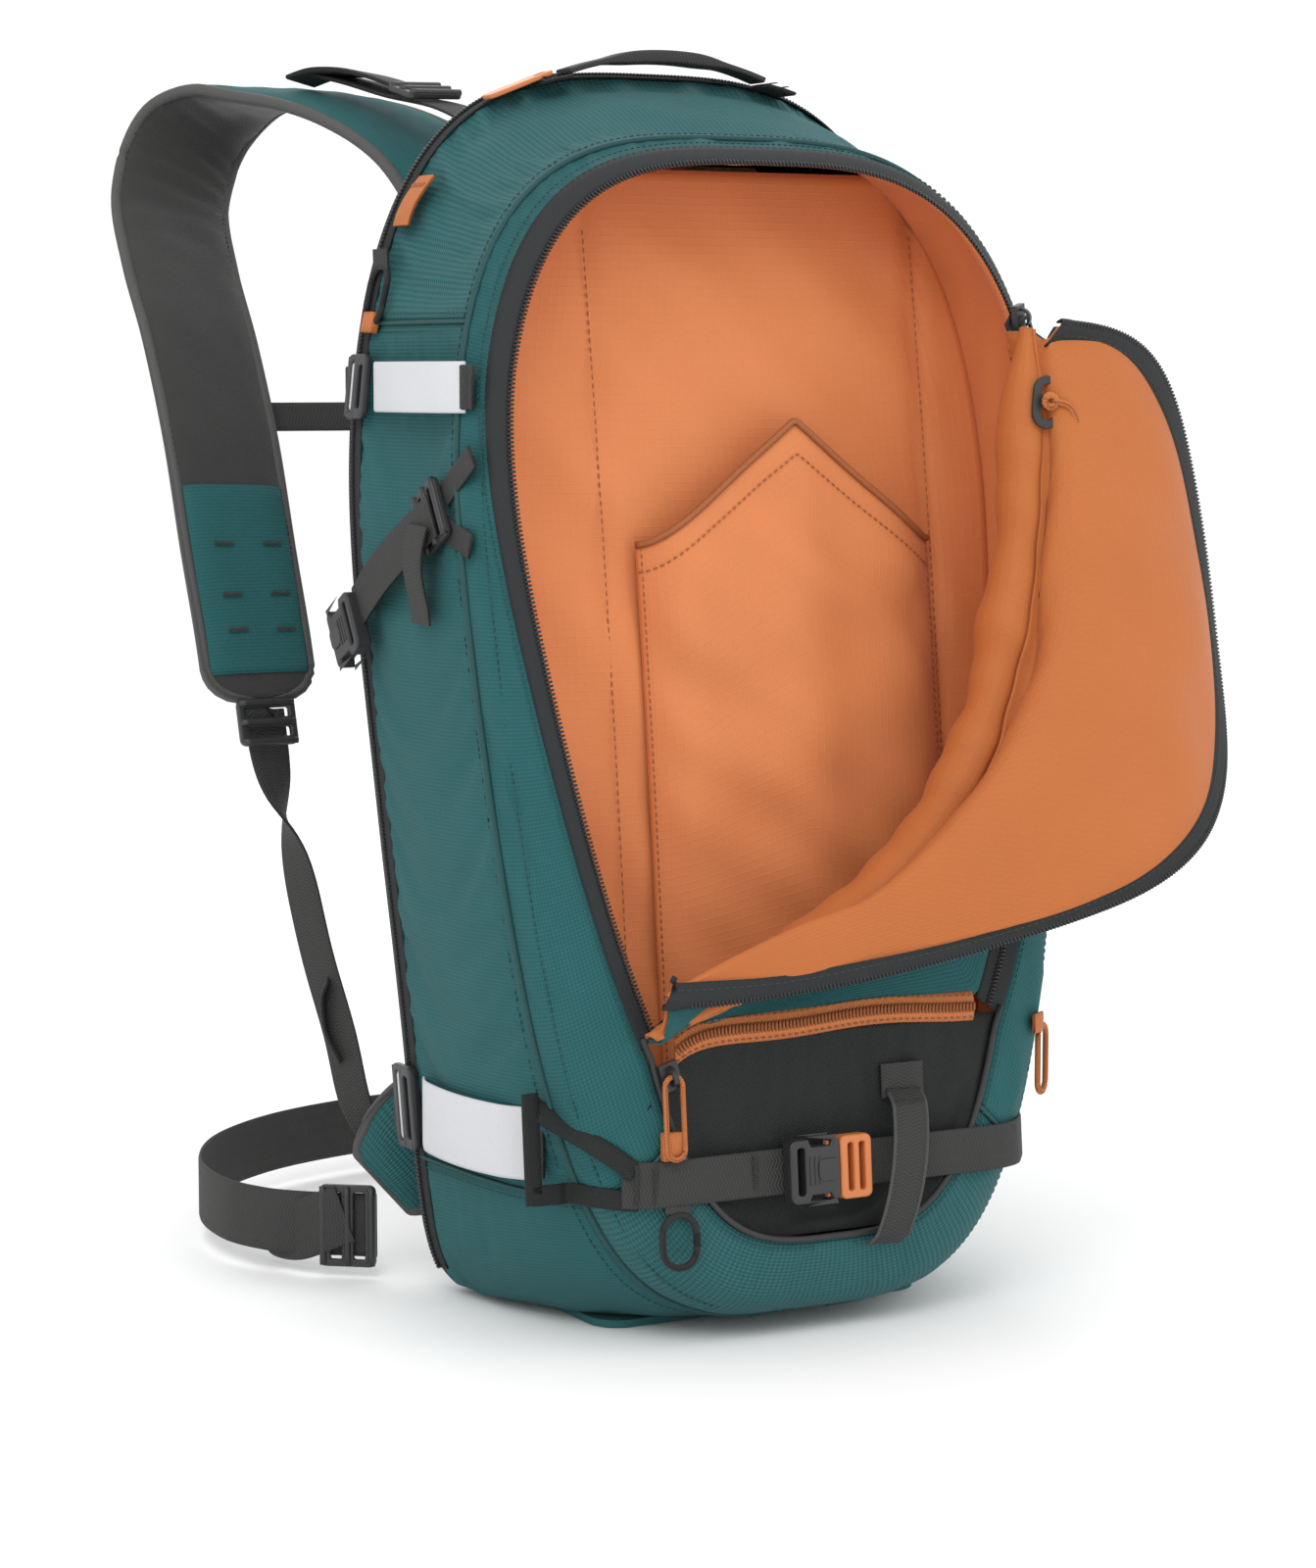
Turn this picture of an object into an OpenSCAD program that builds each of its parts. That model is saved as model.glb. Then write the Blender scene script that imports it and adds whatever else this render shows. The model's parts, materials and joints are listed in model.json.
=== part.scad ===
/* [Bag] */
// Height of the bag along its back panel
bag_h = 556; // [480:1:640]
// Height of the bag along its front face
front_h = 524; // [450:1:600]
// Width of the bag at shoulder height
top_w = 302; // [260:1:350]
// Width of the bag at its base
base_w = 254; // [220:1:300]
// Height at which the bag is as wide as at the shoulders
wide_z = 400; // [340:5:440]
// How far the front face stands in front of the origin at the base
front_low = 122; // [100:1:150]
// How far the front face stands in front of the origin at the top
front_high = 62; // [50:1:90]
// How far the back face stands behind the origin
back_y = 72; // [62:1:90]
// How far the back face draws in at the base
back_draw = 18; // [0:1:24]
// Radius of the front edges
front_r = 30; // [22:1:36]
// Radius of the back edges
back_r = 22; // [16:1:26]
// Thickness of the lined fabric walls
wall = 3; // [2:0.5:4]

/* [Panels] */
// Height of the seam between boot and side panels
boot_z = 66; // [50:1:80]
// Height of the seam between side panels and the top yoke
yoke_z = 443; // [400:1:470]
// Height of the lower front pocket's zip
low_zip_z = 138; // [115:1:170]
// Inset of the main zip from the bag's edge, high up
zip_in_high = 5; // [4:1:9]
// Inset of the main zip from the bag's edge, at its lower ends
zip_in_low = 36; // [30:1:42]
// Width of the zip tape
tape_w = 13; // [10:1:16]
// Depth of the front pocket
pocket_d = 62; // [45:1:80]
// Gap between neighbouring panels
seam_gap = 0.6; // [0.4:0.1:1]

/* [Flap] */
// Height of the flap's upper hinge end
fold_high_z = 440; // [410:1:450]
// Height of the flap's lower hinge end
fold_low_z = 150; // [145:1:180]
// Radius of the fold in the fabric
fold_r = 14; // [10:1:20]
// Thickness of the padded flap
flap_t = 4; // [3:0.5:6]
// Angle by which the flap stands open
flap_open = 170; // [120:1:175]

/* [Webbing and buckles] */
// Thickness of webbing
web_t = 1.6; // [1.2:0.1:2.2]
// Width of the front strap
front_web = 20; // [15:1:25]
// Width of the upper ski straps
ski_up_web = 22; // [20:1:28]
// Width of the lower ski straps
ski_low_web = 32; // [26:1:38]
// Width of the hip belt webbing
hip_web = 30; // [25:1:38]
// Width of the shoulder and load webbing
harness_web = 20; // [15:1:25]
// Width of the sternum strap
chest_web = 16; // [12:1:20]
// Height of the front strap
front_strap_z = 76; // [72:1:84]
// Height of the upper ski strap
ski_up_z = 415; // [395:1:425]
// Height of the lower ski strap
ski_low_z = 89; // [86:1:100]

/* [Harness] */
// Width of the shoulder straps at the shoulder
strap_w = 66; // [58:1:74]
// Width of the shoulder straps at their lower ends
strap_end_w = 52; // [44:1:58]
// Thickness of the shoulder straps
strap_t = 11; // [8:1:14]
// Height of the sternum strap
chest_z = 405; // [380:1:420]
// Height of the middle of the hip belt webbing
belt_z = 24; // [20:1:30]
// Thickness of the back foam
foam_t = 9; // [7:1:11]
// Thickness of the frame sheet
sheet_t = 1.6; // [1:0.1:2]

/* [Hidden] */

// Driving values worked out
mid_z = 300;
base_t = 3.2;
floor_z = base_t + 0.5;
crown_p = 3.2;
front_foot_p = 3.4;
back_foot_p = 10;
front_lift = 12;
bulge = 6;
pull_t = 1.4;
step = 0.01;

function clamp01(t) = min(1, max(0, t));
function smooth(t) = t * t * (3 - 2 * t);
function mix(a, b, t) = a + (b - a) * t;
function round_off(t) = 1 - cos(90 * t);
function unit(v) = v / norm(v);
function flip(v) = [-v.x, v.y, v.z];

// Half width of the bag at a height
function half_w(z) = (base_w + (top_w - base_w) * smooth(clamp01(z / wide_z))) / 2;
// Front and back faces at a height
function front_y(z) = let (t = clamp01(z / front_h))
    -front_low + (front_low - front_high) * t - bulge * sin(180 * t);
function rear_y(z) = back_y - back_draw * (1 - smooth(clamp01((z - 20) / 400)));

// Exponent, top height and foot lift of the outline between the front (k = 0) and the back (k = 1)
function foot_p(k) = mix(front_foot_p, back_foot_p, clamp01(k));
function top_z(k) = mix(front_h, bag_h, sin(90 * clamp01(k)));
function foot_h(k) = mid_z + 4 - front_lift * pow(1 - clamp01(k), 2);

// The bag's outline seen from the front, a superellipse whose width follows half_w, drawn in by d
function outline(a, d, k) =
    let (up = sin(a) > 0, e = 2 / (up ? crown_p : foot_p(k)), h = (up ? top_z(k) - mid_z : foot_h(k)) - d)
    let (z = max(floor_z, mid_z + h * sign(sin(a)) * pow(abs(sin(a)), e)))
    [(half_w(z) - d) * sign(cos(a)) * pow(abs(cos(a)), e), z];
// The angle at which that outline passes a height, on the right-hand side
function angle_at(z, d, k) = z > mid_z
    ? asin(pow(min(1, (z - mid_z) / (top_z(k) - mid_z - d)), crown_p / 2))
    : -asin(pow(min(1, (mid_z - z) / (foot_h(k) - d)), foot_p(k) / 2));
function half_at(z, d, k) = outline(angle_at(z, d, k), d, k).x;

// Points on the skin: the front edge and face (d in from the edge), the gusset (k from front to back),
// and the back edge (d in from the edge)
function edge_drop(d, r) = let (q = max(0, r - d)) r - sqrt(r * r - q * q);
function face_pt(x, z, d) = [x, front_y(z) + edge_drop(d, front_r), z];
function front_pt(a, d) = let (o = outline(a, d, 0)) face_pt(o.x, o.y, d);
function gusset_y(z, k) = mix(front_y(z) + front_r, rear_y(z) - back_r, k);
function gusset_pt(a, k) = let (o = outline(a, 0, k)) [o.x, gusset_y(o.y, k), o.y];
function rear_pt(a, d) = let (o = outline(a, d, 1)) [o.x, rear_y(o.y) - edge_drop(d, back_r), o.y];
function zip_inset(z) = zip_in_high
    + (zip_in_low - zip_in_high) * pow(clamp01((430 - z) / (430 - 105)), 1.5);
function zip_d(a) = zip_inset(outline(a, 0, 0).y);
// Inset of the curve that runs extra inside the zip's outer edge, where that curve passes a height
function inset_at(z, extra, n = 5) = extra
    + (n == 0 ? zip_inset(z) : zip_d(angle_at(z, inset_at(z, extra, n - 1), 0)));

// A point on the left or right gusset at a depth and a height, standing off it by lift
function side_pt(s, y, z, lift) =
    let (y0 = gusset_y(z, 0), k = clamp01((y - y0) / (gusset_y(z, 1) - y0)))
    [s * (half_at(z, 0, k) + lift), y, z];
function side_lean(y, z) = (side_pt(-1, y, z + 6, 0).x - side_pt(-1, y, z - 6, 0).x) / 12;
// A point on the front face at a width and a height, standing off it by lift, and the face's outward direction
function on_front(x, z, lift) =
    let (d = max(0, half_at(z, 0, 0) - abs(x)), q = max(0, front_r - d) / front_r)
    [x + sign(x) * lift * q, front_y(z) + edge_drop(d, front_r) - lift * sqrt(1 - q * q), z];
function front_lean(z) = (front_y(z + 10) - front_y(z - 10)) / 20;
function front_out(z) = unit([0, -1, front_lean(z)]);

// The line about which the flap folds, in front of the face by the fold's radius
fold_a = [half_at(fold_high_z, zip_inset(fold_high_z) + tape_w, 0), 0, fold_high_z];
fold_b = [-half_at(fold_low_z, zip_inset(fold_low_z) + tape_w, 0), 0, fold_low_z];
hinge_a = [fold_a.x, front_y(fold_high_z) - fold_r, fold_high_z];
hinge_b = [fold_b.x, front_y(fold_low_z) - fold_r, fold_low_z];
hinge_dir = unit(hinge_b - hinge_a);
fold_side = unit([hinge_dir.z, 0, -hinge_dir.x]);

// ---- general solids ----

// A skin over the surface f(u, v), which is t thick and lies behind the surface; s is 1 or -1
module skin(f, nu, nv, t, s = 1, lift = 0) {
    grid = [for (i = [0:nu]) for (j = [0:nv])
        let (u = i / nu, v = j / nv, u0 = max(0, u - step), u1 = min(1, u + step))
        let (v0 = max(0, v - step), v1 = min(1, v + step))
        [f(u, v), s * unit(cross(f(u1, v) - f(u0, v), f(u, v1) - f(u, v0)))]];
    n = len(grid);
    w = nv + 1;
    points = concat([for (g = grid) g[0] + lift * g[1]], [for (g = grid) g[0] + (lift - t) * g[1]]);
    outer = [for (i = [0:nu - 1]) for (j = [0:nv - 1]) let (a = i * w + j)
        each [[a, a + w, a + w + 1], [a, a + w + 1, a + 1]]];
    inner = [for (q = outer) [q[2] + n, q[1] + n, q[0] + n]];
    rim = concat([for (i = [0:nu]) i * w], [for (j = [1:nv]) nu * w + j],
        [for (i = [nu - 1:-1:0]) i * w + nv], [for (j = [nv - 1:-1:1]) j]);
    m = len(rim);
    edge = [for (i = [0:m - 1]) let (a = rim[i], b = rim[(i + 1) % m])
        each [[b, a, a + n], [b, a + n, b + n]]];
    faces = concat(outer, inner, edge);
    polyhedron(points, s > 0 ? [for (q = faces) [q[2], q[1], q[0]]] : faces, convexity = 6);
}

// A curve through hand-chosen points, cut into n steps between each pair
function curve(p, n) = [for (i = [0:len(p) - 2]) for (j = [0:n - 1])
    let (a = p[max(0, i - 1)], b = p[i], c = p[i + 1], d = p[min(len(p) - 1, i + 2)], t = j / n)
    b + t * (c - a) / 2 + t * t * (2 * a - 5 * b + 4 * c - d) / 2 + t * t * t * (3 * b - 3 * c + d - a) / 2,
    p[len(p) - 1]];

// Webbing or padding along points: w across and t thick, with across(i) giving its width direction
module ribbon(p, w, t, across, w_end = 0) {
    last = len(p) - 1;
    rings = [for (i = [0:last])
        let (tan = unit(p[min(last, i + 1)] - p[max(0, i - 1)]), raw = across(i / last))
        let (side = unit(raw - tan * (raw * tan)), out = cross(tan, side))
        let (hw = mix(w, w_end > 0 ? w_end : w, i / last) / 2)
        each [p[i] - side * hw - out * t / 2, p[i] + side * hw - out * t / 2,
            p[i] + side * hw + out * t / 2, p[i] - side * hw + out * t / 2]];
    polyhedron(rings, concat([[0, 1, 2], [0, 2, 3]],
        [for (i = [0:last - 1]) for (j = [0:3]) let (a = i * 4 + j, b = i * 4 + (j + 1) % 4)
            each [[a, a + 4, b + 4], [a, b + 4, b]]],
        [[last * 4 + 2, last * 4 + 1, last * 4], [last * 4 + 3, last * 4 + 2, last * 4]]),
        convexity = 6);
}

// A flat solid across the bag between two depths, following its width, row by row
module slab(z0, z1, rows, half, y_front, y_back) {
    points = [for (i = [0:rows]) let (z = mix(z0, z1, i / rows), x = half(z))
        each [[-x, y_front(z), z], [x, y_front(z), z], [x, y_back(z), z], [-x, y_back(z), z]]];
    polyhedron(points, concat([[0, 1, 2], [0, 2, 3]],
        [for (i = [0:rows - 1]) for (j = [0:3]) let (a = i * 4 + j, b = i * 4 + (j + 1) % 4)
            each [[a, a + 4, b + 4], [a, b + 4, b]]],
        [[rows * 4 + 2, rows * 4 + 1, rows * 4], [rows * 4 + 3, rows * 4 + 2, rows * 4]]),
        convexity = 6);
}

// Puts children at p with their X along x and their Z along z
module place(p, x, z) {
    zz = unit(z);
    xx = unit(x - zz * (x * zz));
    yy = cross(zz, xx);
    multmatrix([[xx.x, yy.x, zz.x, p.x], [xx.y, yy.y, zz.y, p.y], [xx.z, yy.z, zz.z, p.z], [0, 0, 0, 1]])
        children();
}

module both() {
    children();
    mirror([1, 0, 0]) children();
}

module round_rect(l, w, r) {
    square([l - 2 * r, w], center = true);
    square([l, w - 2 * r], center = true);
    for (x = [-1, 1], y = [-1, 1]) translate([x * (l / 2 - r), y * (w / 2 - r)]) circle(r, $fn = 24);
}

// A moulded frame with two slots for webbing of width w; webbing runs along X
module ladder_lock(w, t = 3.2) {
    l = w * 0.5 + 12;
    linear_extrude(t) difference() {
        round_rect(l, w + 9, 3);
        for (x = [-1, 1]) translate([x * l * 0.21, 0]) square([l * 0.2, w + 2], center = true);
    }
    for (x = [-1, 1]) translate([x * (l / 2 - 1.6), (w + 8) / 2, t]) rotate([90, 0, 0])
        cylinder(r = 1.6, h = w + 8, $fn = 24);
}

// The body of a side-release buckle for webbing of width w; its mouth faces +X
function mouth_depth(w) = w * 0.625 - 3;
module buckle_female(w) {
    l = w * 1.25;
    difference() {
        linear_extrude(8) round_rect(l, w + 8, 4);
        translate([l / 2 - mouth_depth(w), -w / 2 - 0.5, 2]) cube([l, w + 1, 4]);
        for (y = [-1, 1]) translate([l * 0.12, y * (w / 2 + 4), 4]) cube([l * 0.34, 5, 5], center = true);
        translate([-l / 2 + 4, -w / 2 - 0.5, -1]) cube([3.4, w + 1, 11]);
    }
}

// The pronged half of that buckle; its prongs point to -X and its webbing bars lie at +X
module buckle_male(w) {
    stem = 12;
    reach = mouth_depth(w);
    translate([stem / 2 + 2, 0, 0]) linear_extrude(8) difference() {
        round_rect(stem + 4, w + 8, 3);
        for (x = [-2.6, 3.2]) translate([x, 0]) square([2.8, w + 1], center = true);
    }
    translate([-reach * 0.85, -w * 0.09, 2.6]) cube([reach * 0.85 + 1, w * 0.18, 2.8]);
    for (y = [-1, 1]) translate([-reach, y * w * 0.33 - w * 0.08, 2.6]) cube([reach + 1, w * 0.16, 2.8]);
}

// A flat hook that catches a loop of webbing; it turns about the bar at its origin
module hook_buckle(w) {
    rotate([90, 0, 0]) translate([0, 0, -(w + 6) / 2]) {
        cylinder(r = 2, h = w + 6, $fn = 24);
        linear_extrude(w + 6) polygon([[0, -2], [15, -2], [18, 0.5], [18, 4], [15, 6], [7, 6], [7, 3.6],
            [14, 3.6], [14.8, 2.6], [14.8, 1.4], [14, 0.6], [0, 1.2]]);
    }
}

// A zip slider on a tape: X along the tape, Z out of the bag; pulls turn about the middle of its bail's opening
bail_r = 3.3;
bail_mid = 3 + bail_r / 2;
module slider_body() {
    translate([-6, -4.5, 0]) cube([12, 9, 3]);
    translate([0, 0, 3]) rotate([90, 0, 0]) translate([0, 0, -1.2]) rotate_extrude(angle = 180, $fn = 32)
        translate([bail_r + 0.6, 1.2]) square([1.2, 2.4], center = true);
}

// A closed cord loop in the XY plane from the origin out along -Y
module cord_loop(l, w, d) {
    translate([0, -(l - w) / 2 - w / 2, 0]) {
        for (x = [-1, 1]) translate([x * (w - d) / 2, -(l - w) / 2, 0]) rotate([-90, 0, 0])
            cylinder(d = d, h = l - w, $fn = 16);
        for (s = [0, 1]) rotate([0, 0, 180 * s]) translate([0, (l - w) / 2, 0])
            rotate_extrude(angle = 180, $fn = 32) translate([(w - d) / 2, 0]) circle(d = d, $fn = 16);
    }
}

// ---- the bag's panels ----

base_front = 26;
module base_panel() color("darkslategray") linear_extrude(base_t)
    translate([0, (rear_y(0) - back_r - front_low + front_r + base_front) / 2])
        round_rect(base_w * 0.66, back_y - back_draw + front_low - front_r - back_r - base_front - 8, 14);

module side_panel() color("cadetblue") skin(function(u, v)
    let (z = mix(boot_z, yoke_z, u), k = mix(0.004, 0.986, v)) gusset_pt(angle_at(z, 0, k), k),
    16, 5, wall, -1);
module side_panel_right() mirror([1, 0, 0]) side_panel_left();
module side_panel_left() mirror([1, 0, 0]) side_panel();

module top_yoke() color("cadetblue") skin(function(u, v)
    let (k = mix(0.004, 0.986, v), a = angle_at(yoke_z + seam_gap, 0, k)) gusset_pt(mix(a, 180 - a, u), k),
    22, 5, wall, -1);

module bottom_boot() color("cadetblue") skin(function(u, v)
    let (k = mix(0.004, 0.986, v), a = angle_at(boot_z - seam_gap, 0, k))
    gusset_pt(mix(a, -180 - a, u), k), 24, 5, wall);

module front_border() color("cadetblue") skin(function(u, v)
    let (a0 = angle_at(boot_z + seam_gap, 0, 0), a = mix(a0, 180 - a0, u)) front_pt(a, zip_d(a) * round_off(v)),
    56, 5, wall);

module front_boot() color("teal") skin(function(u, v)
    let (a0 = angle_at(boot_z - seam_gap, 0, 0), a = mix(a0, -180 - a0, u))
    front_pt(a, zip_d(a) * round_off(v)), 36, 5, wall, -1);

// Inner edge of the front boot and of the border, as a half width at a height
function front_half(z, d) = half_at(z, d, 0);
low_foot_z = mid_z - foot_h(0) + zip_in_low + 3;

module lower_front_panel() color("dimgray") skin(function(u, v)
    let (z = mix(low_foot_z, low_zip_z - 6, v), d = inset_at(z, seam_gap))
    let (x = front_half(z, d) * mix(-1, 1, u)) face_pt(x, z, d + (half_w(z) - abs(x)) / 4), 12, 12, wall, 1);

// Width at which the fold line passes a height
function fold_x(z) = mix(fold_a.x, fold_b.x, (fold_high_z - z) / (fold_high_z - fold_low_z));

module front_corner_panel() color("cadetblue") skin(function(u, v)
    let (z = mix(low_zip_z + 6, fold_high_z - 14, v), d = inset_at(z, tape_w + seam_gap))
    let (x1 = front_half(z, d), x0 = min(x1 - 1, z < fold_low_z ? fold_b.x + 10 : fold_x(z) + 2))
    let (x = mix(x0, x1, u)) face_pt(x, z, d + x1 - x), 8, 12, wall, 1);

module front_zip() color("dimgray") skin(function(u, v)
    let (a0 = angle_at(low_zip_z - 26, 0, 0), a = mix(a0, 180 - a0, u))
    front_pt(a, zip_d(a) + mix(seam_gap, tape_w, v)), 84, 1, 2);

module lower_zip() color("sandybrown") skin(function(u, v)
    let (d = inset_at(low_zip_z - 6, tape_w + 2 * seam_gap), x1 = front_half(low_zip_z - 6, d), x = x1 * mix(-1, 1, u))
    face_pt(x, low_zip_z + mix(-5.4, 5.4, v), d + x1 - abs(x)), 14, 1, 2.4, 1);

// ---- inside the front pocket ----

function pocket_y(z) = front_y(z) + pocket_d;
module pocket_divider() color("sandybrown") skin(function(u, v)
    let (z = mix(26, front_h - 26, v), x = (half_at(z, wall + 4, 0.3)) * mix(-1, 1, u))
    [x, pocket_y(z), z], 8, 14, 1.6, 1);

sleeve_left = -50;
sleeve_right = 104;
sleeve_foot = 110;
sleeve_side = 345;
sleeve_peak = 400;
sleeve_depth = 16;
module tool_sleeve() color("peru") skin(function(u, v)
    let (x = mix(sleeve_left, sleeve_right, u))
    let (top = sleeve_side + (sleeve_peak - sleeve_side) * (1 - abs(2 * u - 1)), z = mix(sleeve_foot, top, v))
    [x, pocket_y(z) - 2 - sleeve_depth * (1 - pow(abs(2 * u - 1), 6)), z], 16, 6, 1.2, 1);

// ---- the flap ----

module fold_turn(a) translate(hinge_a) rotate(a = a, v = hinge_dir) translate(-hinge_a) children();

flap_a0 = angle_at(fold_high_z + 6, zip_inset(fold_high_z) + tape_w, 0);
flap_a1 = 180 - angle_at(fold_low_z + 6, zip_inset(fold_low_z) + tape_w, 0);
flap_gap = 1.6;
function flap_end(a) = outline(a, zip_d(a) + tape_w + flap_gap, 0);
// The closed flap runs from the fold line (v = 0) to the zip (v = 1) and lies on the face
function flap_pt(u, v) =
    let (a = mix(flap_a0, flap_a1, u), d = zip_d(a) + tape_w + flap_gap, z1 = outline(a, d, 0))
    let (base = mix(flap_end(flap_a0), flap_end(flap_a1), 0.03 + 0.94 * u))
    let (p = mix(base, z1, v), from_zip = norm(z1 - p)) face_pt(p.x, p.y, d + from_zip);
module flap() color("sandybrown") fold_turn(-flap_open)
    skin(function(u, v) flap_pt(u, v), 36, 10, flap_t, -1, flap_t + 1);

eyelet_at = flap_pt(0.13, 0.3);
eyelet_in = -unit(cross(flap_pt(0.15, 0.3) - flap_pt(0.11, 0.3), flap_pt(0.13, 0.36) - flap_pt(0.13, 0.24)));
module flap_eyelet() color("dimgray") fold_turn(-flap_open)
    place(eyelet_at - eyelet_in * 0.9 * sign(-eyelet_in.y), [1, 0, 0], eyelet_in * sign(eyelet_in.y))
    linear_extrude(pull_t - 0.2) difference() {
        for (y = [-5, 5]) translate([0, y]) circle(7, $fn = 32);
        for (y = [-5, 5]) translate([0, y]) circle(3, $fn = 32);
    }

// ---- zip sliders and pulls ----

right_slider_z = 446;
function zip_mid(s, z) = let (d = inset_at(z, tape_w / 2), x = half_at(z, d, 0)) face_pt(s * x, z, d);
slider_lift = 1.6;
right_slider_at = zip_mid(1, right_slider_z);
right_run = unit(zip_mid(1, right_slider_z - 16) - zip_mid(1, right_slider_z + 4));
right_out = unit([0.55, -0.83, 0]);
right_pull_at = right_slider_at + right_out * (slider_lift + bail_mid);
module zip_slider_right() color("dimgray") place(right_slider_at + right_out * slider_lift, right_run, right_out)
    slider_body();
module zip_pull_right() color("dimgray")
    place(right_pull_at, right_run + 0.2 * right_out, right_out - 0.2 * right_run) rotate([0, 0, 90]) {
        translate([0, 0, -pull_t / 2]) linear_extrude(pull_t) difference() {
            translate([0, -14.6]) round_rect(9, 28, 3);
            translate([0, -2.6]) square([5.4, 6.4], center = true);
            translate([0, -23]) circle(2.4, $fn = 24);
        }
        for (x = [-1, 1]) translate([x * 2.7, -1.4, -pull_t / 2]) mirror([x > 0 ? 0 : 1, 0, 0])
            cube([1.4, 2.4, pull_t]);
        rotate([0, 90, 0]) translate([0, 0, -4]) cylinder(r = 1, h = 8, $fn = 24);
    }

left_slider_z = 122;
left_slider_at = zip_mid(-1, left_slider_z);
left_run = unit(zip_mid(-1, left_slider_z + 16) - zip_mid(-1, left_slider_z - 4));
left_out = front_out(left_slider_z - 20);
left_pull_at = left_slider_at + left_out * (slider_lift + bail_mid);
module zip_slider_left() color("dimgray") place(left_slider_at + left_out * slider_lift, left_run, left_out)
    slider_body();
module zip_pull_left() color("sandybrown")
    place(left_pull_at, [1, 0, 0], left_out) translate([0, 1.2, 0]) cord_loop(38, 11, 2.4);

low_pull_x = half_at(low_zip_z, 0, 0) - 5;
low_pull_at = on_front(low_pull_x, low_zip_z - 12, 3.4);
module lower_zip_pull() color("sandybrown")
    place(low_pull_at, [0.8, 0.6, 0], [0.6, -0.8, 0]) cord_loop(34, 14, 2.8);

// ---- side straps ----

ski_front_y = -56;
ski_back_y = 30;
module side_webbing(y0, y1, z, w, lift) ribbon([for (i = [0:8]) side_pt(-1, mix(y0, y1, i / 8), z,
    lift * sqrt(sin(mix(0, 180, i / 8))) + web_t / 2 + 1)], w, web_t, function(t) [side_lean((y0 + y1) / 2, z), 0, 1]);
module ski_webbing_upper() color("whitesmoke") both()
    side_webbing(ski_front_y, ski_back_y, ski_up_z, ski_up_web, 8);
module ski_webbing_lower() color("whitesmoke") both()
    side_webbing(ski_front_y - 14, ski_back_y - 8, ski_low_z, ski_low_web, 8);
hook_lift = 4.4;
function hook_out(y, z) = unit([-1, 0, side_lean(y, z)]);
module ski_hook(y, z, w) color("dimgray")
    place(side_pt(-1, y, z, hook_lift), [0, -1, 0], hook_out(y, z)) hook_buckle(w);
module ski_hook_upper_left() ski_hook(ski_back_y + 21, ski_up_z, ski_up_web);
module ski_hook_upper_right() mirror([1, 0, 0]) ski_hook_upper_left();
module ski_hook_lower_left() ski_hook(ski_back_y + 13, ski_low_z, ski_low_web);
module ski_hook_lower_right() mirror([1, 0, 0]) ski_hook_lower_left();

anchor_y = -52;
anchor_z = 366;
comp_from = side_pt(-1, anchor_y + 14, anchor_z - 8, 3.2);
comp_to = side_pt(-1, 30, 318, 6);
comp_lock_at = side_pt(-1, anchor_y + 14, anchor_z - 6, 2.8);
module compression_anchors() color("dimgray") both() for (dz = [-18, 20])
    ribbon([for (i = [0:4]) side_pt(-1, mix(anchor_y - 16, anchor_y + 6, i / 4),
        mix(anchor_z + dz, anchor_z - 4 + sign(dz) * 8, i / 4), 1)], 11, web_t,
        function(t) [0, 0, 1]);
module compression_strap_left() color("dimgray") {
    place(comp_lock_at, comp_to - comp_from, [-1, 0, 0]) ladder_lock(harness_web, 3);
    ribbon([for (i = [0:6]) mix(comp_from, comp_to, i / 6) + [-3 * sin(30 * i) - 3.6, 0, 0]], harness_web, web_t,
        function(t) [0, 1, 1.6]);
    place(comp_to + [-2, 6, -11], comp_to - comp_from, [-1, 0, 0]) buckle_female(harness_web);
}
module compression_strap_right() mirror([1, 0, 0]) compression_strap_left();

// ---- front strap ----

front_x0 = -86;
front_female_x = -14;
front_male_x = front_female_x + front_web * 0.625 + 0.4;
function strap_pt(x, lift) = on_front(x, front_strap_z, lift);
strap_up = [0, front_lean(front_strap_z), 1];
module front_strap_anchors() color("dimgray") {
    ribbon([for (i = [0:6]) strap_pt(mix(front_x0, front_female_x - 9, i / 6), 2)], front_web, web_t,
        function(t) strap_up);
    ribbon([for (i = [0:14]) strap_pt(mix(front_male_x + 18, half_at(front_strap_z, 0, 0) - 5, i / 14), 2.2 + 1.2 * i / 14)],
        front_web, web_t, function(t) strap_up);
}
front_frame = front_out(front_strap_z);
module front_buckle_female() color("black")
    place(strap_pt(front_female_x, 3.6), [1, 0, 0], front_frame) buckle_female(front_web);
module front_buckle_male() color("sandybrown")
    place(strap_pt(front_male_x, 3.6), [1, 0, 0], front_frame) buckle_male(front_web);

tab_x = 37;
tab_w = 17;
tab_top = 106;
tab_len = 66;
tab_lift = 3.2;
module front_tab() color("dimgray") ribbon(
    [for (i = [0:16]) on_front(tab_x - i * 0.8, tab_top - tab_len * i / 16, tab_lift + 12 * sqrt(sin(180 * i / 16)))],
    tab_w, 2, function(t) [1, 0, 0]);

axe_at = on_front(-78, 64, 2.4);
module axe_loop() color("black") place(axe_at, [1, 0, 0], front_frame) cord_loop(26, 20, 3.2);

// ---- small loops and handles ----

gear_y = 40;
gear_z = 470;
gear_at = side_pt(-1, gear_y, gear_z, 3.2);
gear_out = hook_out(gear_y, gear_z - 14);
module gear_loop_left() color("black")
    place(gear_at, [0, -1, 0], gear_out) cord_loop(30, 20, 3);
module gear_loop_right() mirror([1, 0, 0]) gear_loop_left();
module side_tabs() color("sandybrown") both()
    place(side_pt(-1, gear_y - 6, 497, 0.6), [0, 1, 0], unit([-1, 0, 0.55])) translate([-7, -9, 0]) cube([14, 18, 2]);

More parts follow.
